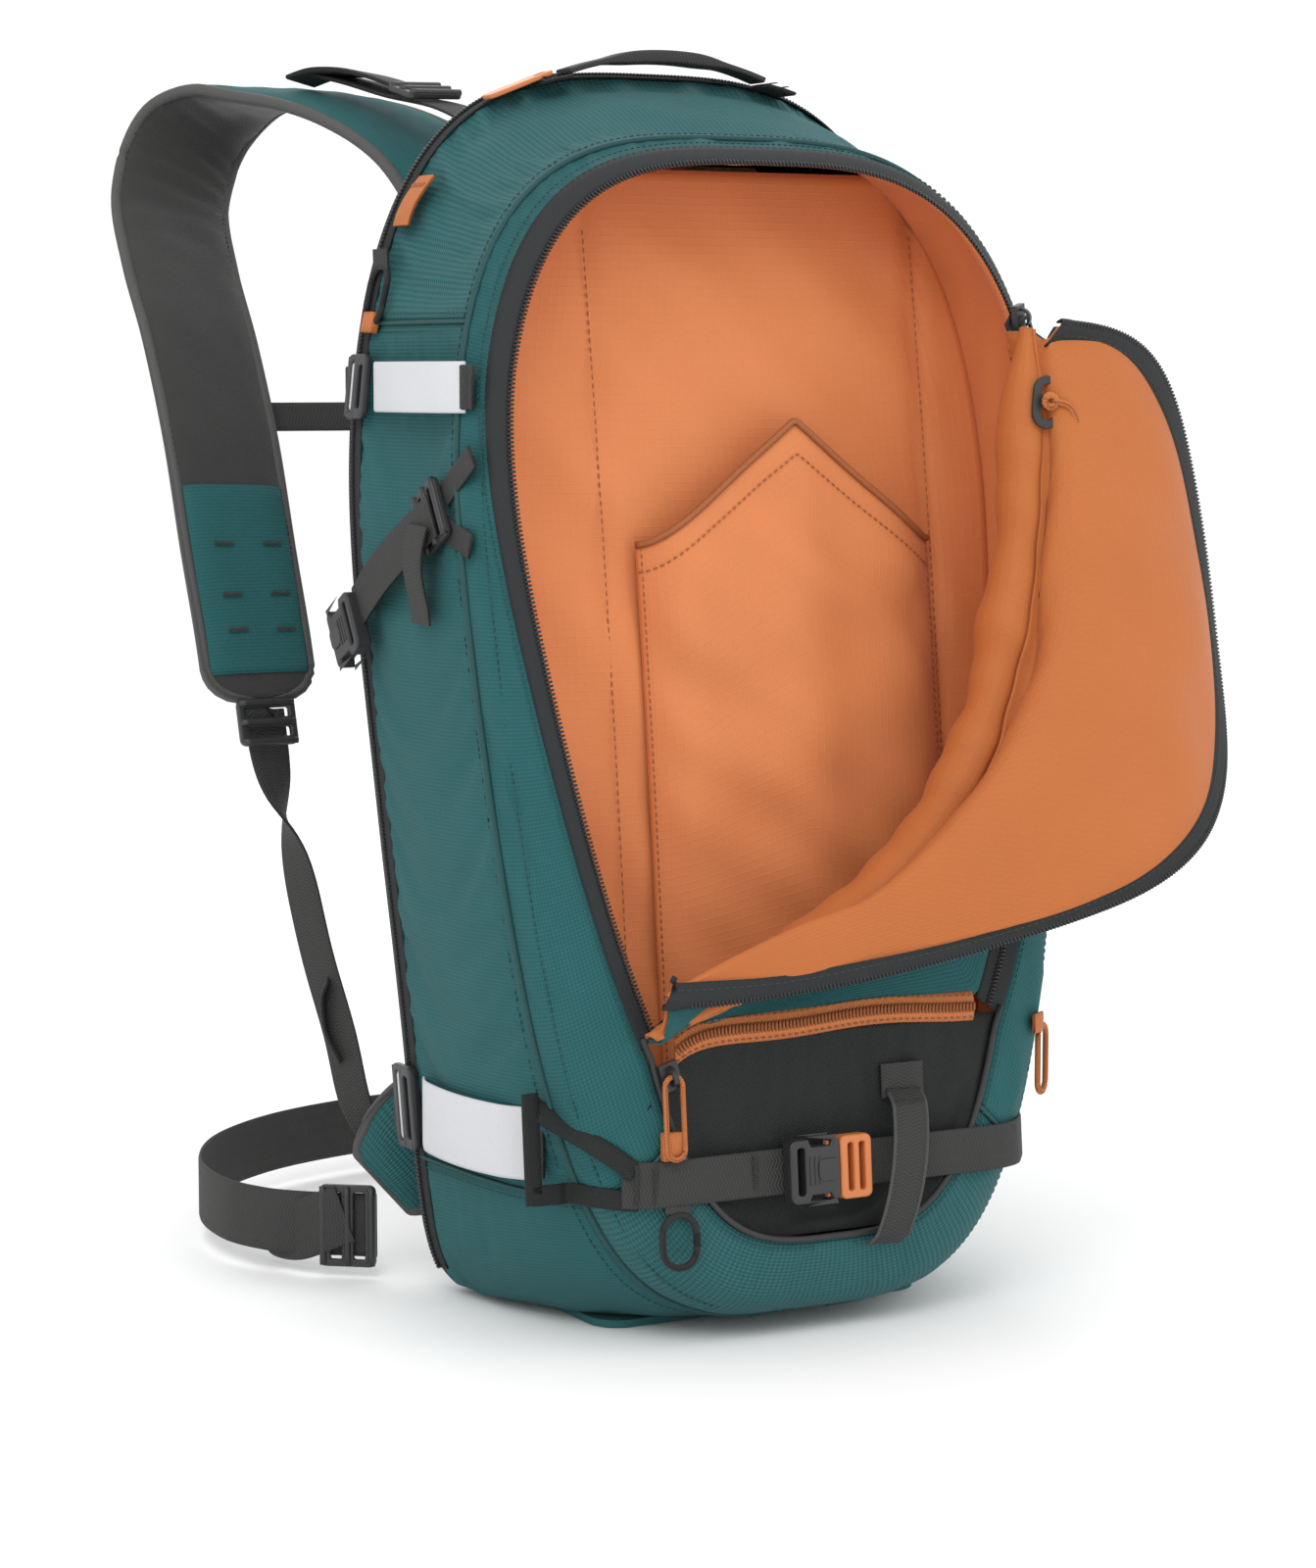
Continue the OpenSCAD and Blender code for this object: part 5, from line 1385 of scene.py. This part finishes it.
def make_straps():
    """The shoulder straps: teal outside, dark knit inside, bound edges, patches, webbing and locks."""
    base = curve(np.array(STRAP) * MM, 9)
    t = np.linspace(0, 1, len(base))
    width = mix(0.066, 0.052, t) - 0.004 * np.sin(pi * t)
    width = width * np.sqrt(np.maximum(1 - (np.maximum(t - 0.955, 0) / 0.0465) ** 2, 0.02))
    thick = 0.011 * (0.55 + 0.45 * np.sin(pi * np.clip(t, 0.02, 0.98)) ** 0.4)
    for s, side in ((-1, "left"), (1, "right")):
        path = base * [-s, 1, 1]
        top, low, out = pad_skins(path, (s * -1.0, 0, 0), width, thick)
        if out[-20, 1] < 0:
            top, low = low, top
        n, m = top.shape[:2]
        tt, cc = params(n, m)
        bend = np.exp(-((tt - 0.47) / 0.10) ** 2) + 0.5 * np.exp(-((tt - 0.12) / 0.06) ** 2)
        fold = np.sin(tt * 210 + 1.5 * np.sin(cc * 5)) * bend * np.sin(pi * cc) * 0.0007
        mid = 0.5 * (top + low)
        half = unit(top - mid)
        top = top + half * (0.4 * fold + wrinkles(top, 0.0004, 0.03, 41))[..., None]
        low = low - half * (1.5 * fold + wrinkles(low, 0.0005, 0.03, 42))[..., None]
        g = facing(top, half)
        name = f"shoulder_strap_{side}"
        a = piece(name + "_outer", sheet_mesh(name, top, 0.0009, g), "teal", "back_panel", (name,))
        b = piece(name + "_inner", sheet_mesh(name, low, 0.0009, -g), "foam", "back_panel")
        rim = np.concatenate([mid[:, 0], mid[-1, 1:], mid[::-1, -1][1:], mid[0, ::-1][1:-1]])
        keep = np.linalg.norm(np.diff(np.concatenate([rim, rim[:1]]), axis=0), axis=1) > 1e-4
        piece(name + "_binding", tube_mesh(name, rim[keep], 0.0030, 10, True), "binding", "back_panel")
        for j in (2, m - 3):
            stitch_row(f"{name}_stitch_{'near' if j == 2 else 'far'}", low[2:-2, j] - half[2:-2, j] * 0.0003,
                       -half[2:-2, j], "dark_thread", "back_panel")
        i0, i1 = int(n * 0.80), int(n * 0.97)
        patch = (low - half * 0.0009)[i0:i1, 3:-3]
        piece(name + "_patch", sheet_mesh(name, patch, 0.0008, -g), "teal", "back_panel")
        spots = []
        for i in (i0 + 5, (i0 + i1) // 2, i1 - 6):
            for j in (m // 2 - 4, m // 2 + 5):
                spots.append(((low - half * 0.0016)[i, j] / MM, low[i, j + 1] - low[i, j], -half[i, j], 9))
        bar_tacks(name + "_tacks", spots, "back_panel")
        flip_path = lambda pts: [[-s * p[0], p[1], p[2]] for p in pts]
        lift = flip_path([[-66, 86, 536], [-72, 112, 545], [-78, 150, 552], [-84, 184, 560], [-92, 210, 566]])
        band(f"load_lifter_{side}", lift, (1, 0, 0), 20, "back_panel", "webbing",
             ("load_lifter_webbing",) if s < 0 else ())
        tail = flip_path([[-78, 146, 556], [-82, 164, 561], [-87, 184, 565], [-94, 204, 566], [-100, 220, 563]])
        band(f"lifter_tail_{side}", tail, (-s * 1.0, 0.1, -0.12), 20, "back_panel", thick=2.4 * MM)
        lower = flip_path([[-165, 121, 266], [-165, 121, 262], [-160, 123, 236], [-150, 122, 196], [-142, 116, 150],
                           [-135, 106, 112], [-130, 100, 80], [-122, 96, 62]])
        lower = curve(np.array(lower) * MM, 10)
        turn = ease((0.262 - lower[:, 2]) / 0.09)[:, None]
        face = unit((1 - turn) * np.array([1.0, 0, 0]) + turn * np.array([-s * -0.42, 0.9, 0]))
        piece(f"strap_web_{side}", webbing_mesh("w", lower, face, 0.020, shape().webbing), "webbing", "back_panel",
              ("strap_webbing",) if s < 0 else ())
        tail = flip_path([[-139, 109, 138], [-141, 112, 128], [-139, 112, 112], [-134, 106, 98]])
        band(f"strap_tail_{side}", tail, (0.42, 0.9, 0), 12, "back_panel")
    for tag, at, x, z, body in (("lifter", [75, 132, 551.5], [-0.12, 0.95, 0.24], [0, -0.24, 0.97],
                                 "load_lifter_locks"),
                                ("adjuster", [165, 119.4, 259], [0, 0.28, 0.96], [0, -0.96, 0.28],
                                 "strap_adjusters")):
        meshes = []
        for s in (-1, 1):
            meshes += ladder([s * at[0]] + at[1:], [-s * x[0]] + x[1:], z, 20)
        fitting(tag + "_locks", meshes, "plastic", body, (body,))


def make_chest():
    """The sternum strap with its buckle."""
    hi, lo = np.array(STRAP[9], float), np.array(STRAP[10], float)
    up = unit(np.array([0, hi[1] - lo[1], hi[2] - lo[2]]))
    out = np.array([0, up[2], -up[1]])
    mid = mix(lo, hi, (405 - lo[2]) / (hi[2] - lo[2]))
    on = np.array([0, mid[1], mid[2]]) + out * 7.1
    pt = lambda x, lift: on + np.array([x, 0, 0]) + out * lift
    edge = -mid[0] - 12
    band("sternum_left", [pt(x, 1.6) for x in np.linspace(-edge - 6, -12, 9)], up, 16, "sternum_strap", "webbing",
         ("sternum_webbing",))
    band("sternum_right", [pt(x, 1.6) for x in np.linspace(14, edge + 6, 9)], up, 16, "sternum_strap")
    meshes = []
    for s in (-1, 1):
        meshes += ladder(pt(-s * mid[0], 0), (1, 0, 0), out, 16)
    fitting("sternum_locks", meshes, "plastic", "sternum_strap")
    fitting("sternum_housing", buckle_body(pt(-8, 3), (1, 0, 0), out, 16), "plastic", "sternum_strap",
            ("sternum_female",))
    fitting("sternum_prongs", buckle_prongs(pt(2.4, 3), (1, 0, 0), out, 16), "plastic", "sternum_male",
            ("sternum_male",))


def make_belt():
    """The hip fins, the belt webbing, its locks and its buckle."""
    z0 = 24
    fin = curve(np.array([[-84, 69, 70], [-104, 73, 62], [-117, 78, 51], [-123.5, 82, 44]]) * MM, 10)
    half = [[-140, 91], [-154, 102], [-168, 120], [-176, 152], [-168, 200], [-140, 248], [-96, 284], [-46, 303],
            [0, 308], [32, 308]]
    band("belt_left", [[-128, 81, z0]] + [[x, y, z0] for x, y in half], (0, 0, 1), 30, "back_panel", "webbing",
         ("hip_webbing_left",))
    right = [[128, 81, z0]] + [[-x, y, z0] for x, y in half[:6]] + [[130, 278, z0], [116, 314, z0], [102, 320, z0],
                                                                 [88, 320, z0], [70, 320, z0]]
    band("belt_right", right, (0, 0, 1), 30, "back_panel", "webbing", ("hip_webbing_right",))
    meshes = []
    for s, side in ((-1, "left"), (1, "right")):
        path = fin * [-s, 1, 1]
        n = len(path)
        t = np.linspace(0, 1, n)
        top, low, _ = pad_skins(path, (0, 0, 1), mix(0.078, 0.036, t), 0.009 * mix(1, 0.8, t), 24)
        g = facing(top, top - low)
        a = piece(f"hip_fin_{side}_outer", sheet_mesh("f", top, 0.0009, g), "coarse", "back_panel",
                  ("hip_fins",) if s < 0 else ())
        b = piece(f"hip_fin_{side}_inner", sheet_mesh("f", low, 0.0009, -g), "coarse", "back_panel")
        mid = 0.5 * (top + low)
        rim = np.concatenate([mid[:, 0], mid[-1, 1:], mid[::-1, -1][1:]])
        piece(f"hip_fin_{side}_binding", tube_mesh("f", rim, 0.0026, 10), "binding", "back_panel")
        meshes += ladder([s * 139, 88.4, z0], [s * 0.78, 0.62, 0], [s * 0.62, -0.78, 0], 30)
        tail = [[s * x, y, z] for x, y, z in ((142, 86, 30), (150, 93, 26), (158, 106, 20), (162, 122, 19),
                                              (160, 138, 20))]
        band(f"belt_tail_{side}", tail, (0, 0, 1), 28, "back_panel")
    fitting("hip_lock_pair", meshes, "plastic", "back_panel", ("hip_locks",))
    fitting("hip_housing", buckle_body([44, 309.4, z0], (1, 0, 0), (0, 1, 0), 30), "plastic", "back_panel",
            ("hip_buckle_female",))
    fitting("hip_prongs", buckle_prongs([63.15, 309.4, z0], (1, 0, 0), (0, 1, 0), 30), "plastic", "hip_buckle_male",
            ("hip_buckle_male",))


def make_back():
    """The opening back panel: its teal edge, padded knit face, lumbar pad and the zip round it."""
    a = np.linspace(-pi / 2 + 0.004, 1.5 * pi - 0.004, 300)
    aa, v = np.meshgrid(a, np.linspace(0, 1, 14), indexing="ij")
    ring = rear_pt(aa, BACK_R * (1 - np.cos(pi / 2 * (1 - v)))) + [0, 0.0009, 0]
    ring = ring + normals(ring) * wrinkles(ring, 0.0004, 0.04, 51)[..., None]
    s = 1 if (normals(ring)[:, 0, 1]).mean() > 0 else -1
    piece("back_edge_cloth", sheet_mesh("b", ring, 0.0011, s), "teal", "back_panel", ("back_shell",))
    aa, t = np.meshgrid(a, np.linspace(0.02, 1, 10), indexing="ij")
    x, z = outline(aa, BACK_R * 0.8 + 0 * aa, 1)
    x, z = x * t, MID_Z + (z - MID_Z) * t
    piece("back_panel_facing", sheet_mesh("f", stack(x, rear_y(z) - 0.0006, z), 0.0008, s), "charcoal", "back_panel")
    low, high = FLOOR_Z + BACK_R + 0.001, BACK_H - BACK_R - 0.001
    v, u = params(120, 70)
    z = mix(low, high, v)
    x = half_at(z, BACK_R - 0.001, 1) * mix(-1, 1, u)
    edge = np.minimum(np.minimum(u, 1 - u) * 12, np.minimum(v, 1 - v) * 18)
    channel = np.exp(-((np.abs(x) - 0.026) / 0.007) ** 2) + 0.6 * np.exp(-(((z - 0.20) % 0.085 - 0.0425) / 0.006) ** 2)
    h = 0.0068 * ease(edge) - 0.0034 * channel * ease(edge)
    p = stack(x, rear_y(z) + 0.0010 + h, z)
    pad = piece("back_pad_cloth", sheet_mesh("p", p, 0.001, -1), "mesh", "back_panel", ("back_foam",))
    v, u = params(50, 50)
    z = mix(0.062, 0.190, v)
    w = 0.070 - 0.018 * np.abs((z - 0.126) / 0.064)
    x = w * mix(-1, 1, u)
    h = 0.0095 * np.sqrt(np.maximum(1 - ((z - 0.126) / 0.066) ** 2, 0)) * (1 - np.abs(2 * u - 1) ** 6) ** 0.5
    p = stack(x, rear_y(z) + 0.0066 + h, z)
    pad = piece("lumbar_cloth", sheet_mesh("l", p, 0.001, -1), "foam", "back_panel", ("lumbar_pad",))
    rim = np.concatenate([p[:, 0], p[-1, 1:], p[::-1, -1][1:], p[0, ::-1][1:-1]])
    piece("lumbar_binding", tube_mesh("l", rim, 0.0020, 10, True), "binding", "back_panel")
    a = np.linspace(radians(-48), radians(228), 330)
    x, z = outline(a, 0, 1)
    line = stack(x, rear_y(z) - BACK_R + 0.0004, z)
    out = unit(np.stack([np.gradient(z), 0 * z, -np.gradient(x)], -1))
    tape = line[:, None] + np.array([0, 1, 0]) * np.linspace(-0.0062, 0.0062, 7)[None, :, None]
    tape = tape + out[:, None] * (0.0006 + 0.0008 * np.sin(np.linspace(0, pi, 7)))[None, :, None]
    piece("back_zip_tape", sheet_mesh("z", tape, 0.0008, 1 if (normals(tape)[:, 3] * out).sum() > 0 else -1), "tape",
          "pack", ("back_zip",))
    teeth("back_zip_teeth", line + out * 0.0014, out, "coil")
    for name, material in (("frame_sheet", "sheet"), ("frame_stays", "alloy"), ("zip_slider_right", "plastic"),
                           ("zip_slider_left", "plastic"), ("zip_pull_right", "plastic"), ("base_panel", "coarse")):
        NODES[name].data.materials.clear()
        NODES[name].data.materials.append(MATERIALS[material])


# ---------------------------------------------------------------- stage

def make_stage():
    """A pale floor, soft studio lights and the camera."""
    scene = bpy.context.scene
    floor_mat = bpy.data.materials.new("studio_floor")
    floor_mat.use_nodes = True
    bsdf = floor_mat.node_tree.nodes["Principled BSDF"]
    bsdf.inputs["Base Color"].default_value = (0.95, 0.95, 0.95, 1)
    bsdf.inputs["Roughness"].default_value = 0.9
    bpy.ops.mesh.primitive_plane_add(size=120, location=(0, 0, -0.0004))
    floor = bpy.context.object
    floor.name = "studio_floor"
    floor.data.materials.append(floor_mat)
    world = bpy.data.worlds.new("studio_sky")
    world.use_nodes = True
    world.node_tree.nodes["Background"].inputs["Color"].default_value = (1, 1, 1, 1)
    world.node_tree.nodes["Background"].inputs["Strength"].default_value = 1.06
    scene.world = world
    for name, at, size, power in (("key", (-1.5, -1.9, 2.4), 1.8, 30), ("fill", (2.2, -1.6, 1.3), 2.2, 10),
                                  ("rim", (0.6, 2.2, 2.2), 1.6, 16)):
        light = bpy.data.lights.new(name, "AREA")
        light.size = size
        light.energy = power
        obj = bpy.data.objects.new(name, light)
        obj.location = at
        obj.rotation_euler = (Vector((0, 0.05, 0.28)) - Vector(at)).to_track_quat("-Z", "Y").to_euler()
        scene.collection.objects.link(obj)
    camera = bpy.data.cameras.new("view")
    camera.lens = 87.75
    camera.sensor_width = 36
    camera.clip_start = 0.05
    cam = bpy.data.objects.new("view", camera)
    cam.location = (-0.8654, -1.5211, 0.42)
    cam.rotation_euler = Vector((0.4821, 0.8697, -0.1063)).to_track_quat("-Z", "Y").to_euler()
    scene.collection.objects.link(cam)
    scene.camera = cam
    scene.view_settings.view_transform = "Standard"


# ---------------------------------------------------------------- operators

class BACKPACK_OT_materials(bpy.types.Operator):
    """Make the cloth, webbing and plastic materials"""
    bl_idname = "backpack.materials"
    bl_label = "Materials"
    bl_options = {"REGISTER", "UNDO"}

    def execute(self, context):
        make_materials()
        return {"FINISHED"}


class BACKPACK_OT_panels(bpy.types.Operator):
    """Cut, settle and dress the shell's cloth panels"""
    bl_idname = "backpack.panels"
    bl_label = "Shell panels"
    bl_options = {"REGISTER", "UNDO"}

    def execute(self, context):
        make_panels()
        return {"FINISHED"}


class BACKPACK_OT_seams(bpy.types.Operator):
    """Sew the piping and topstitching"""
    bl_idname = "backpack.seams"
    bl_label = "Seams"
    bl_options = {"REGISTER", "UNDO"}

    def execute(self, context):
        make_seams()
        return {"FINISHED"}


class BACKPACK_OT_zips(bpy.types.Operator):
    """Make the main zip and the lower pocket's zip"""
    bl_idname = "backpack.zips"
    bl_label = "Zips"
    bl_options = {"REGISTER", "UNDO"}

    def execute(self, context):
        make_zips()
        return {"FINISHED"}


class BACKPACK_OT_pocket(bpy.types.Operator):
    """Make the pocket's lining, divider and tool sleeve"""
    bl_idname = "backpack.pocket"
    bl_label = "Front pocket"
    bl_options = {"REGISTER", "UNDO"}

    def execute(self, context):
        make_pocket()
        return {"FINISHED"}


class BACKPACK_OT_flap(bpy.types.Operator):
    """Make the folding front panel with its roll, tape and eyelet"""
    bl_idname = "backpack.flap"
    bl_label = "Front flap"
    bl_options = {"REGISTER", "UNDO"}

    def execute(self, context):
        make_flap()
        return {"FINISHED"}


class BACKPACK_OT_sides(bpy.types.Operator):
    """Make the ski straps, compression straps and side loops"""
    bl_idname = "backpack.sides"
    bl_label = "Side fittings"
    bl_options = {"REGISTER", "UNDO"}

    def execute(self, context):
        make_side_fittings()
        return {"FINISHED"}


class BACKPACK_OT_front(bpy.types.Operator):
    """Make the front strap, tab, loops and zip pulls"""
    bl_idname = "backpack.front"
    bl_label = "Front fittings"
    bl_options = {"REGISTER", "UNDO"}

    def execute(self, context):
        make_front_fittings()
        return {"FINISHED"}


class BACKPACK_OT_top(bpy.types.Operator):
    """Make the haul handle and the top pull"""
    bl_idname = "backpack.top"
    bl_label = "Top fittings"
    bl_options = {"REGISTER", "UNDO"}

    def execute(self, context):
        make_top_fittings()
        return {"FINISHED"}


class BACKPACK_OT_straps(bpy.types.Operator):
    """Make the shoulder straps with their webbing"""
    bl_idname = "backpack.straps"
    bl_label = "Shoulder straps"
    bl_options = {"REGISTER", "UNDO"}

    def execute(self, context):
        make_straps()
        return {"FINISHED"}


class BACKPACK_OT_chest(bpy.types.Operator):
    """Make the sternum strap and its buckle"""
    bl_idname = "backpack.chest"
    bl_label = "Sternum strap"
    bl_options = {"REGISTER", "UNDO"}

    def execute(self, context):
        make_chest()
        return {"FINISHED"}


class BACKPACK_OT_belt(bpy.types.Operator):
    """Make the hip fins, belt and buckle"""
    bl_idname = "backpack.belt"
    bl_label = "Hip belt"
    bl_options = {"REGISTER", "UNDO"}

    def execute(self, context):
        make_belt()
        return {"FINISHED"}


class BACKPACK_OT_back(bpy.types.Operator):
    """Make the padded back panel and its zip"""
    bl_idname = "backpack.back"
    bl_label = "Back panel"
    bl_options = {"REGISTER", "UNDO"}

    def execute(self, context):
        make_back()
        return {"FINISHED"}


class BACKPACK_OT_stage(bpy.types.Operator):
    """Set up the floor, the lights and the camera"""
    bl_idname = "backpack.stage"
    bl_label = "Stage"
    bl_options = {"REGISTER", "UNDO"}

    def execute(self, context):
        make_stage()
        return {"FINISHED"}


STEPS = [BACKPACK_OT_materials, BACKPACK_OT_panels, BACKPACK_OT_seams, BACKPACK_OT_zips,
         BACKPACK_OT_pocket, BACKPACK_OT_flap, BACKPACK_OT_sides, BACKPACK_OT_front,
         BACKPACK_OT_top, BACKPACK_OT_straps, BACKPACK_OT_chest, BACKPACK_OT_belt,
         BACKPACK_OT_back, BACKPACK_OT_stage]


class BACKPACK_PT_main(bpy.types.Panel):
    """The backpack's sizes, colours and build steps."""
    bl_label = "Backpack"
    bl_idname = "BACKPACK_PT_main"
    bl_space_type = "VIEW_3D"
    bl_region_type = "UI"
    bl_category = "Backpack"

    def draw(self, context):
        column = self.layout.column()
        for group in (context.scene.bag_shape, context.scene.bag_colours):
            for key in group.__annotations__:
                column.prop(group, key)
        for step in STEPS:
            column.operator(step.bl_idname)


CLASSES = [BagShape, BagColours] + STEPS + [BACKPACK_PT_main]


def register():
    """Registers the classes and hangs both property groups on the scene."""
    for cls in CLASSES:
        bpy.utils.register_class(cls)
    bpy.types.Scene.bag_shape = bpy.props.PointerProperty(type=BagShape)
    bpy.types.Scene.bag_colours = bpy.props.PointerProperty(type=BagColours)


def unregister():
    """Takes the property groups and the classes away again."""
    del bpy.types.Scene.bag_shape
    del bpy.types.Scene.bag_colours
    for cls in reversed(CLASSES):
        bpy.utils.unregister_class(cls)


def main():
    """Runs every build step in order."""
    register()
    for step in STEPS:
        getattr(bpy.ops.backpack, step.bl_idname.split(".")[1])()


if __name__ == "__main__":
    main()
